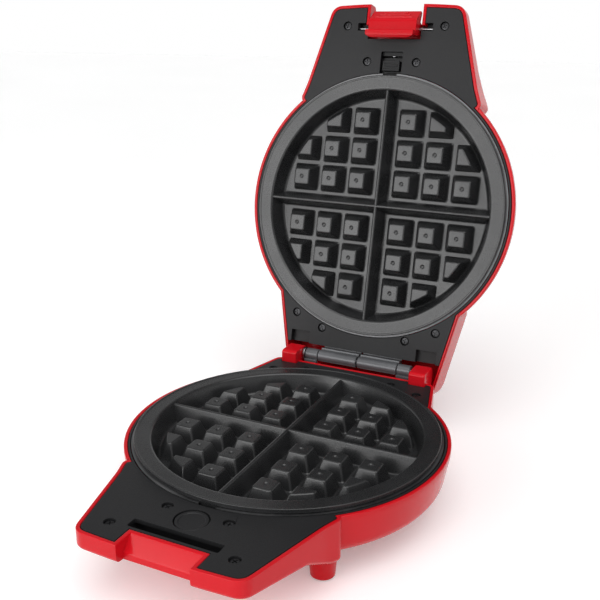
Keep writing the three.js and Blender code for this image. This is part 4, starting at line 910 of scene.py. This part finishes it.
def ridge():
    """A ridge right across the cavity, whose ends lean with the wall."""
    half_foot, half_top = RIDGE_FOOT / 2, RIDGE_TOP / 2
    top = CUP_FLOOR + RIDGE_RISE
    slope = Vector((half_top - half_foot, RIDGE_RISE)).normalized()
    low, high = Vector((half_foot, CUP_FLOOR)), Vector((half_top, top))
    spread = half_foot + 1.2
    side = [(spread, CUP_FLOOR - 0.3)]
    side += curve_points((spread, CUP_FLOOR - SKIN), low, low + slope * RIDGE_FOOT_BLEND)
    side += curve_points(high - slope * RIDGE_TOP_ROUND, high, (0, top))
    profile = side + [(-y, z) for y, z in reversed(side[:-1])]
    lean = (RIM - CUP_FLOOR_RADIUS) / (FLANGE_TOP - CUP_FLOOR)
    reach = CUP_FLOOR_RADIUS + RIDGE_SPARE
    return rings_to_mesh([
        [(end * (reach + (z - CUP_FLOOR) * lean), y, z) for y, z in profile]
        for end in (-1, 1)
    ])


def waffle_plate():
    first = ridge()
    parts = [cup(), first, copy(first, Matrix.Rotation(QUARTER, 4, "Z"))]
    floor, top = CUP_FLOOR - 1, CUP_FLOOR + STUD_RISE + 0.1
    limit = lathe(
        [(0, floor), (CUP_FLOOR_RADIUS, floor), (STUD_CLIP, top), (0, top)], PLATE_SIDES,
    )
    offsets = []
    at = STUD_FIRST
    while at < CUP_FLOOR_RADIUS:
        offsets += [at, -at]
        at += STUD_PITCH
    for x in offsets:
        for y in offsets:
            if math.hypot(x, y) > CUP_FLOOR_RADIUS:
                continue
            corner = math.hypot(abs(x) + STUD_TOP / 2, abs(y) + STUD_TOP / 2)
            parts.append(stud(x, y) if corner <= STUD_CLIP else clipped_stud(x, y, limit))
    bpy.data.objects.remove(limit)
    parts.append(round_edges(cut(middle_box(*LUG), middle_box(*LUG_BITE)), FINE_ROUND))
    return merged(parts)


lower_plate = waffle_plate()
upper_plate = copy(lower_plate)
for plate, word, body in ((lower_plate, "lower", "base"), (upper_plate, "upper", "lid")):
    finished(
        plate, f"{word}_plate_casting", body, COATING, f"{word}_waffle_plate", 40,
    )


# Reflectors
PAN_UNDER, PAN_SHEET, PAN_WALL, PAN_RIM, PAN_RIM_TOP, PAN_BEND = -21.0, 0.8, 88.0, 96.5, 0.1, 1.8
PAN_HOLE, PAN_LIP, PAN_LIP_DROP, PAN_CORNER = 10.0, 0.8, 0.7, 1.4
PAN_GAP_HALF, PAN_GAP_REAR, PAN_GAP_DROP = 5.3, -90.7, 4.8
HEATER_LEVEL, HEATER_SIDE, HEATER_BORE = -16.6, 8.0, 3.85


def reflector():
    """A pan of thin sheet, turned as a closed profile."""
    outer = PAN_WALL + PAN_SHEET
    top = PAN_UNDER + PAN_SHEET
    rim_under = PAN_RIM_TOP - PAN_SHEET
    profile = [(PAN_HOLE, PAN_UNDER)]
    profile += curve_points(
        (outer - PAN_BEND, PAN_UNDER), (outer, PAN_UNDER), (outer, PAN_UNDER + PAN_BEND),
    )
    profile += [(outer, rim_under), (PAN_RIM, rim_under), (PAN_RIM, PAN_RIM_TOP)]
    profile += curve_points(
        (PAN_WALL + PAN_LIP, PAN_RIM_TOP), (PAN_WALL, PAN_RIM_TOP),
        (PAN_WALL, PAN_RIM_TOP - PAN_LIP_DROP), 4,
    )
    profile += curve_points(
        (PAN_WALL, top + PAN_CORNER), (PAN_WALL, top), (PAN_WALL - PAN_CORNER, top), 4,
    )
    profile.append((PAN_HOLE, top))
    pan = lathe(profile, closed=True)
    gap_low = PAN_RIM_TOP - PAN_GAP_DROP
    cut(pan, middle_box(PAN_GAP_HALF, -FAR, PAN_GAP_REAR, gap_low, OVERRUN))
    for x in (-HEATER_SIDE, HEATER_SIDE):
        cut(pan, duct(HEATER_BORE, PAN_WALL - OVERRUN, PAN_RIM, x, HEATER_LEVEL, THIN))
    return pan


for node, body in (("lower_reflector", "base"), ("upper_reflector", "lid")):
    finished(reflector(), f"{node}_pressing", body, SHEET, node)


# Screws
HEAD_RADIUS, HEAD_FLAT, HEAD_TOP, HEAD_EDGE, HEAD_UNDER = 2.8, 1.6, -1.0, -1.5, -2.5
CROSS_HALF, CROSS_WIDE_HALF, CROSS_FLOOR = 1.7, 0.35, -1.9
SHANK_RADIUS, SHANK_TOP, SHANK_END, POINT_RADIUS, POINT_TOP = 1.3, -2.3, -9.0, 1.0, -8.4
SCREW_TURN = 17


def screw():
    profile = [(0, HEAD_UNDER), (HEAD_RADIUS, HEAD_UNDER)]
    profile += curve_points((HEAD_RADIUS, HEAD_EDGE), (2.7, HEAD_TOP), (HEAD_FLAT, HEAD_TOP))
    profile.append((0, HEAD_TOP))
    head = lathe(profile, THIN)
    cut(head, add(
        middle_box(CROSS_HALF, -CROSS_WIDE_HALF, CROSS_WIDE_HALF, CROSS_FLOOR, 0),
        middle_box(CROSS_WIDE_HALF, -CROSS_HALF, CROSS_HALF, CROSS_FLOOR, 0),
    ))
    shank = lathe([
        (0, SHANK_END), (POINT_RADIUS, SHANK_END), (SHANK_RADIUS, POINT_TOP),
        (SHANK_RADIUS, SHANK_TOP), (0, SHANK_TOP),
    ], 16)
    return merged([head, shank])


pattern = screw()
for spot, (x, y) in SCREWS.items():
    for side, word, other in SIDES:
        turn = math.radians(SCREW_TURN * side + y)
        spin = Matrix.Translation((side * x, y, 0)) @ Matrix.Rotation(turn, 4, "Z")
        for body, hand in (("base", word), ("lid", other)):
            node = f"{body}_screw_{spot}_{hand}"
            finished(copy(pattern, spin), f"{node}_fine", body, SCREW, node)
bpy.data.objects.remove(pattern)


# Latch
TIP, TIP_TOP, BROW, BROW_TOP = -141.9, -2.5, -134.1, 6.1
THROAT, THROAT_TOP, HUB_FRONT, HUB_REAR, HUB_UNDER = -134.0, -3.5, -133.0, -125.0, -6.8
HEEL_TOP, HOOK_THICK, HOOK_REACH, HOOK_CHAMFER = 3.0, 2.6, 3.0, 1.5
HOOK_ROUND_X, HOOK_ROUND_Y, HOOK_SPARE = 8.0, 0.5, 0.1
PIN_HALF, PIN_WIRE, PIN_BORE = 31.0, 1.1, 1.45
SPRING_POCKET, SPRING_HALF = 3.2, 3.4
RIB_SHARES = (0.5, 0.64, 0.78)
# Side view of a grip rib: along the slope and out of it
RIB_SIDE = [
    (-0.95, -0.9), (0.95, -0.9), (0.95, 0), (0.45, 0.7), (0.1, 0.86), (-0.2, 0.8), (-0.95, 0),
]


def is_latch_edge(middle, edge):
    return middle.z > BROW_TOP + 1 or abs(abs(middle.x) - LATCH_HALF) < EXACT


hook_under = HOOK_TOP - HOOK_THICK
hook_end = BLADE_REAR + HOOK_REACH
latch_side = [
    (TIP, TIP_TOP, 0.8), (TIP + 0.9, TIP_TOP - 2.7, 0.8), (THROAT, THROAT_TOP, 0.5),
    (HUB_FRONT, HUB_UNDER, 0.5), (HUB_REAR, HUB_UNDER, 0.5), (BLADE_REAR, HEEL_TOP, 0.5),
    (BLADE_REAR, hook_under, 0.3), (hook_end, hook_under, 0.3),
    (hook_end, HOOK_TOP - HOOK_CHAMFER, 0.4), (hook_end - HOOK_CHAMFER, HOOK_TOP, 0.6),
    (BLADE_FRONT, HOOK_TOP, 0.7), (BLADE_FRONT, BROW_TOP, 0.4), (BROW, BROW_TOP, 1.6),
]
latch = across(softened(latch_side, 5), -LATCH_HALF, LATCH_HALF)
bowed = [(-LATCH_HALF, -FAR), (LATCH_HALF, -FAR)]
bowed += curve_points(
    (LATCH_HALF, BLADE_REAR + HOOK_ROUND_Y), (LATCH_HALF - 0.6, hook_end + HOOK_SPARE),
    (LATCH_HALF - HOOK_ROUND_X, hook_end + HOOK_SPARE), 10,
)
bowed += [(-x, y) for x, y in reversed(bowed[2:])]
common(latch, prism(bowed, -FAR, FAR))
round_edges(latch, FINE_ROUND, is_latch_edge, 2, 40)
cut(
    latch,
    rod(PIN_BORE, -FAR, FAR, PIN_Y, PIN_Z),
    rod(SPRING_POCKET, -SPRING_HALF, SPRING_HALF, PIN_Y, PIN_Z),
)
tip = Vector((TIP, TIP_TOP))
run = Vector((BROW - TIP, BROW_TOP - TIP_TOP))
length = run.length
run.normalize()
out = Vector((-run.y, run.x))
pieces = [latch]
for at, share in enumerate(RIB_SHARES):
    middle = tip + run * (length * (at + 1) / (len(RIB_SHARES) + 1))
    half = LATCH_HALF * share
    rib = across([tuple(middle + run * u + out * v) for u, v in RIB_SIDE], -half, half)
    pieces.append(round_edges(
        rib, FINE_ROUND, lambda spot, edge, half=half: abs(abs(spot.x) - half) < EXACT,
    ))
finished(merged(pieces), "latch_moulding", "latch", RED, "lid_latch", 40)
pin = round_edges(rod(PIN_WIRE, -PIN_HALF, PIN_HALF, PIN_Y, PIN_Z, THIN), FINE_ROUND)
finished(pin, "latch_pin_wire", "lid", STEEL, "latch_pin")


# Releases
BUTTON_UNDER, BUTTON_SIDE_TOP, BUTTON_FLAT = -2.3, -1.1, 8.5
DISH_OUTER, DISH_INNER, DISH_EDGE, DISH_FLOOR = 7.3, 6.9, -0.75, -1.0
STEM_HALF, STEM_FOOT_TOP, STEM_FOOT_UNDER = 3.0, -7.6, -8.4
STEM_FOOT_RADIUS, STEM_FOOT_Y = 2.6, -108.3
STEM_SIDE = [(-114.3, -1.6), (-114.3, -2.35), (-109.0, -7.6), (-107.6, -7.6), (-107.6, -1.6)]
SLIDE_HALF, SLIDE_TOP, SLIDE_UNDER = 6.3, -0.3, -5.8
GRIP_HALF, GROOVE_HALF, GROOVE_FLOOR, GROOVES = 5.4, 0.45, -0.8, 3
# Leaf, nose and fence of the slider: half width, front, rear, bottom, top
SLIDE_BOXES = [
    (10.5, -108.5, -96.5, -6.8, -4.8), (4.4, -98, -93.9, -6.8, -4.8), (6.3, -108.5, -107, -10, -5),
]
SLIDE_ROUND = 0.2

profile = [(0, BUTTON_UNDER), (9.0, BUTTON_UNDER), (BUTTON_RADIUS, BUTTON_UNDER + 0.2)]
profile += curve_points(
    (BUTTON_RADIUS, BUTTON_SIDE_TOP), (BUTTON_RADIUS, BUTTON_TOP), (BUTTON_FLAT, BUTTON_TOP),
)
profile += [(DISH_OUTER, BUTTON_TOP), (DISH_INNER, DISH_EDGE), (0, DISH_FLOOR)]
button = merged([
    moved(lathe(profile, BUTTON_SIDES), 0, BUTTON_Y),
    across(STEM_SIDE, -STEM_HALF, STEM_HALF),
    post(STEM_FOOT_RADIUS, STEM_FOOT_UNDER, STEM_FOOT_TOP, 0, STEM_FOOT_Y),
])
finished(button, "release_button_cap", "button", BLACK, "lower_release_button")

slide = middle_box(SLIDE_HALF, SLIDE_FRONT, SLIDE_FRONT + SLIDE_LONG, SLIDE_UNDER, SLIDE_TOP)
for at in range(GROOVES):
    y = SLIDE_FRONT + SLIDE_LONG * (at + 1) / (GROOVES + 1)
    cut(slide, middle_box(GRIP_HALF, y - GROOVE_HALF, y + GROOVE_HALF, GROOVE_FLOOR, OVERRUN))
round_edges(slide, PANEL_ROUND, lambda middle, edge: middle.z > GROOVE_FLOOR - 0.1)
slide = merged([slide] + [round_edges(middle_box(*sizes), SLIDE_ROUND) for sizes in SLIDE_BOXES])
finished(
    slide, "release_slider_moulding", "slider", BLACK, "upper_release_slider",
)


# Hinge
BARREL_RADIUS, BARREL_BORE, BARREL_EDGE = 4.3, 2.25, 0.35
NECK_FRONT, NECK_BACK, NECK_TOP = 5.5, 2.3, 2.4
BRIDGE_FRONT, BRIDGE_BACK = 12.5, 1.0
HINGE_LEAF_FRONT, HINGE_LEAF_REAR, LEAF_BORE, LEAF_BORE_END = 25.0, 105.1, 1.6, -20.0
KNUCKLE, KNUCKLE_LEAF = (31.6, 41.4), (28.6, 41.4)
LID_BARREL, LID_LEAF = (0.6, 31), (0.6, 37.4)
HINGE_PIN_HALF, PIN_EDGE = 52.0, 0.4
COLLAR_RADIUS, COLLAR_LEFT, COLLAR_RIGHT = 4.6, -43.7, -41.9


def barrel(side, tube_span, leaf_span, level):
    """A tube on the hinge axis with the neck, bridge and leaf that carry it."""
    left, right = span(side, *tube_span)
    edge_radius = BARREL_RADIUS - BARREL_EDGE
    tube = lathe([
        (BARREL_BORE, left), (edge_radius, left), (BARREL_RADIUS, left + BARREL_EDGE),
        (BARREL_RADIUS, right - BARREL_EDGE), (edge_radius, right), (BARREL_BORE, right),
    ], FINE, closed=True)
    moved(tube, 0, HINGE_Y, level, QUARTER, "Y")
    leaf_under = LEAF_TOP - LEAF_THICK
    neck = box(left, right, HINGE_Y - NECK_FRONT, HINGE_Y - NECK_BACK, leaf_under, level - NECK_TOP)
    bridge = box(left, right, HINGE_Y - BRIDGE_FRONT, HINGE_Y - BRIDGE_BACK, leaf_under, LEAF_TOP)
    leaf = box(
        *span(side, *leaf_span), HINGE_Y - HINGE_LEAF_FRONT, HINGE_LEAF_REAR, leaf_under, LEAF_TOP,
    )
    x, y = SCREWS["rear_inner"]
    cut(leaf, post(LEAF_BORE, LEAF_BORE_END, OVERRUN, side * x, y))
    return merged([tube] + [round_edges(piece, PANEL_ROUND) for piece in (neck, bridge, leaf)])


for side, word, other in SIDES:
    knuckle = barrel(side, KNUCKLE, KNUCKLE_LEAF, HINGE_Z)
    finished(
        knuckle, f"base_knuckle_{word}", "base", BARREL,
        f"base_hinge_knuckle_{word}",
    )
    sleeve = barrel(side, LID_BARREL, LID_LEAF, DECK_GAP - HINGE_Z)
    finished(
        sleeve, f"lid_barrel_{other}", "lid", BARREL, f"lid_hinge_barrel_{other}",
    )
hinge_pin = rod(PIN_RADIUS, -HINGE_PIN_HALF, HINGE_PIN_HALF, HINGE_Y, HINGE_Z)
round_edges(hinge_pin, PIN_EDGE)
collar = rod(COLLAR_RADIUS, COLLAR_LEFT, COLLAR_RIGHT, HINGE_Y, HINGE_Z, FINE)
round_edges(collar, PIN_EDGE, None, 3)
finished(merged([hinge_pin, collar]), "hinge_pin_turned", "base", STEEL, "hinge_pin")


# Feet, cord outlet and lamps
PAD_THICK, PAD_BEND = 2.1, 0.4
# The groove in a pad: radii from inside to outside, and its depth
GROOVE_RADII, GROOVE_DEEP = (3.6, 3.9, 4.3, 4.6), 0.3

pad_top = FOOT_END + PAD_SINK
pad_under = pad_top - PAD_THICK
pad_edge = PAD_RADIUS - PAD_BEND
for place, (x, y) in zip(("front", "rear"), FEET):
    for side, word, other in SIDES:
        profile = [(0, pad_under)]
        for radius, deep in zip(GROOVE_RADII, (0, GROOVE_DEEP, GROOVE_DEEP, 0)):
            profile.append((radius, pad_under + deep))
        profile += curve_points(
            (pad_edge, pad_under), (PAD_RADIUS, pad_under), (PAD_RADIUS, pad_under + PAD_BEND), 3,
        )
        profile += [(PAD_RADIUS, pad_top), (0, pad_top)]
        finished(
            moved(lathe(profile, FINE), side * x, y), f"pad_{place}_{word}", "base", RUBBER,
            f"foot_pad_{place}_{word}",
        )

# Radius and distance from the plate's centre, from the inner end round the ribbed outside
GLAND_PROFILE = [
    (3.3, 104), (4.4, 104), (4.4, 108.3), (5.6, 108.3), (6.0, 108.7), (6.0, 109.9),
    (5.6, 110.3), (4.5, 110.3), (4.3, 110.8), (4.3, 111.6), (4.0, 111.8), (4.0, 112.4),
    (4.1, 112.6), (4.1, 113.6), (3.8, 114), (3.4, 114), (3.3, 113.8),
]
gland = moved(lathe(GLAND_PROFILE, FINE, closed=True), GLAND_X, 0, GLAND_Z, -QUARTER, "X")
finished(gland, "cord_gland_moulding", "base", RUBBER, "cord_gland")


def underside_at(y):
    """Height of the lid's outer surface above a point of the handle."""
    reach = -y / HANDLE_REACH
    for (far, far_deep), (near, near_deep) in zip(UNDERSIDE, UNDERSIDE[1:]):
        if near <= reach <= far:
            share = (far - reach) / (far - near)
            return -DEPTH * (far_deep + share * (near_deep - far_deep))
    return -DEPTH


LAMP_DOME, LAMP_FLANGE, LAMP_FLANGE_THICK = 1.4, 5.2, 1.0
DOME_STEPS = 8
under = underside_at(LAMP_Y)
lens_profile = [(0, under - LAMP_DOME)]
for step in range(1, DOME_STEPS + 1):
    angle = QUARTER * step / DOME_STEPS
    lens_profile.append((LAMP_RADIUS * math.sin(angle), under - LAMP_DOME * math.cos(angle)))
inside = under + FLOOR + CLEAR + LAMP_DOME
lens_profile += [(LAMP_RADIUS, inside), (LAMP_FLANGE, inside)]
lens_profile += [(LAMP_FLANGE, inside + LAMP_FLANGE_THICK), (0, inside + LAMP_FLANGE_THICK)]
for side, node, material, slot in (
    (-1, "power_lamp_lens", LENS_RED, "lamp_red"),
    (1, "ready_lamp_lens", LENS_GREEN, "lamp_green"),
):
    lens = moved(lathe(lens_profile, FINE), side * LAMP_X, LAMP_Y)
    finished(lens, f"{node}_moulding", "lid", material, node)


# CAD nodes that are shown as they are, with a better material
kept = {
    "lower_heating_element": SHEATH, "upper_heating_element": SHEATH,
    "thermostat": CERAMIC, "terminal_block": CERAMIC, "thermal_fuse": STEEL,
    "block_lead": SLEEVE, "fuse_lead": SLEEVE,
    "lower_plate_catch": STEEL, "lower_release_spring": STEEL,
    "upper_release_spring": STEEL, "latch_spring": STEEL,
}
for node, material in kept.items():
    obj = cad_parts[node]
    obj.data.materials.clear()
    obj.data.materials.append(material)


# Floor: a white sweep that camera and gloss see lighter than it is lit
FLOOR_HALF = 6.0
FLOOR_LIFT = 0.24
floor_mesh = make(
    "floor",
    [(x * FLOOR_HALF, y * FLOOR_HALF, 0) for x, y in ((-1, -1), (1, -1), (1, 1), (-1, 1))],
    [(0, 1, 2, 3)],
)
floor_mesh.name = "studio_floor"
sweep = textured(
    "white_sweep", (0.93, 0.93, 0.93), (0.95, 0.95, 0.95),
    rough=(0.7, 0.8, 0.02), grain=60, bump=0.02, patch=2,
)
paper = sweep.node_tree.nodes
shader = paper["Principled BSDF"]
rays = paper.new("ShaderNodeLightPath")
seen = paper.new("ShaderNodeMath")
seen.operation = "MAXIMUM"
lift = paper.new("ShaderNodeMath")
lift.operation = "MULTIPLY"
lift.inputs[1].default_value = FLOOR_LIFT
for source, target in (
    (rays.outputs["Is Camera Ray"], seen.inputs[0]),
    (rays.outputs["Is Glossy Ray"], seen.inputs[1]),
    (seen.outputs["Value"], lift.inputs[0]),
    (lift.outputs["Value"], shader.inputs["Emission Strength"]),
):
    sweep.node_tree.links.new(source, target)
shader.inputs["Emission Color"].default_value = (1, 1, 1, 1)
floor_mesh.data.materials.append(sweep)

# World: the studio is white at the horizon and grey overhead
HORIZON, CEILING = 1.0, 0.3
HORIZON_END, CEILING_START = 0.13, 0.25
world = bpy.data.worlds.new("studio")
bpy.context.scene.world = world
world.use_nodes = True
sky = world.node_tree.nodes
wires = world.node_tree.links
toward = sky.new("ShaderNodeTexCoord")
split = sky.new("ShaderNodeSeparateXYZ")
level = sky.new("ShaderNodeMath")
level.operation = "ABSOLUTE"
wires.new(toward.outputs["Generated"], split.inputs["Vector"])
wires.new(split.outputs["Z"], level.inputs[0])
glow = ramp_between(
    sky, wires, level.outputs["Value"], HORIZON, CEILING, HORIZON_END, CEILING_START,
)
sky["Background"].inputs["Color"].default_value = (1, 1, 1, 1)
wires.new(glow, sky["Background"].inputs["Strength"])


# Lamps, in metres and watts
SOFTBOX_AT, SOFTBOX_TO = Vector((-0.414, -0.97, 0.438)), Vector((0, 0.12, 0.16))
SOFTBOX_SIZE, SOFTBOX_POWER = 0.6, 4.4
OVERHEAD_POWER, OVERHEAD_ANGLE = 1.75, math.radians(60)
OVERHEAD_WAY = Vector((-0.25, 0.35, -0.9))


def place_lamp(data, way):
    obj = bpy.data.objects.new(data.name, data)
    bpy.context.scene.collection.objects.link(obj)
    obj.rotation_mode = "QUATERNION"
    obj.rotation_quaternion = way.to_track_quat("-Z", "Y")
    return obj


softbox = bpy.data.lights.new("front_softbox", "AREA")
softbox.shape = "RECTANGLE"
softbox.size = softbox.size_y = SOFTBOX_SIZE
softbox.energy = SOFTBOX_POWER
lamp = place_lamp(softbox, SOFTBOX_TO - SOFTBOX_AT)
lamp.location = SOFTBOX_AT
lamp.visible_camera = False
overhead = bpy.data.lights.new("overhead", "SUN")
overhead.energy = OVERHEAD_POWER
overhead.angle = OVERHEAD_ANGLE
place_lamp(overhead, OVERHEAD_WAY)

# Camera: degrees, pixels of the photograph and millimetres from the centre of the lower plate
AZIMUTH, ELEVATION = math.radians(26.03), math.radians(16.18)
FOCAL_PIXELS, CENTRE_X, CENTRE_Y, IMAGE = 858.1, 295.6, 269.2, 600
CAMERA_AT = Vector((218.4, -436.2, 246.8))
SENSOR = 36
camera_data = bpy.data.cameras.new("camera")
camera = bpy.data.objects.new("camera", camera_data)
bpy.context.scene.collection.objects.link(camera)
bpy.context.scene.camera = camera
back = Vector((
    math.sin(AZIMUTH) * math.cos(ELEVATION),
    -math.cos(AZIMUTH) * math.cos(ELEVATION),
    math.sin(ELEVATION),
))
camera.location = BASE @ CAMERA_AT
camera.rotation_mode = "QUATERNION"
camera.rotation_quaternion = (-back).to_track_quat("-Z", "Y")
camera_data.sensor_width = SENSOR
camera_data.lens = SENSOR * FOCAL_PIXELS / IMAGE
camera_data.shift_x = (IMAGE / 2 - CENTRE_X) / IMAGE
camera_data.shift_y = (CENTRE_Y - IMAGE / 2) / IMAGE
camera_data.clip_start = 0.01
bpy.context.scene.view_settings.view_transform = "Standard"
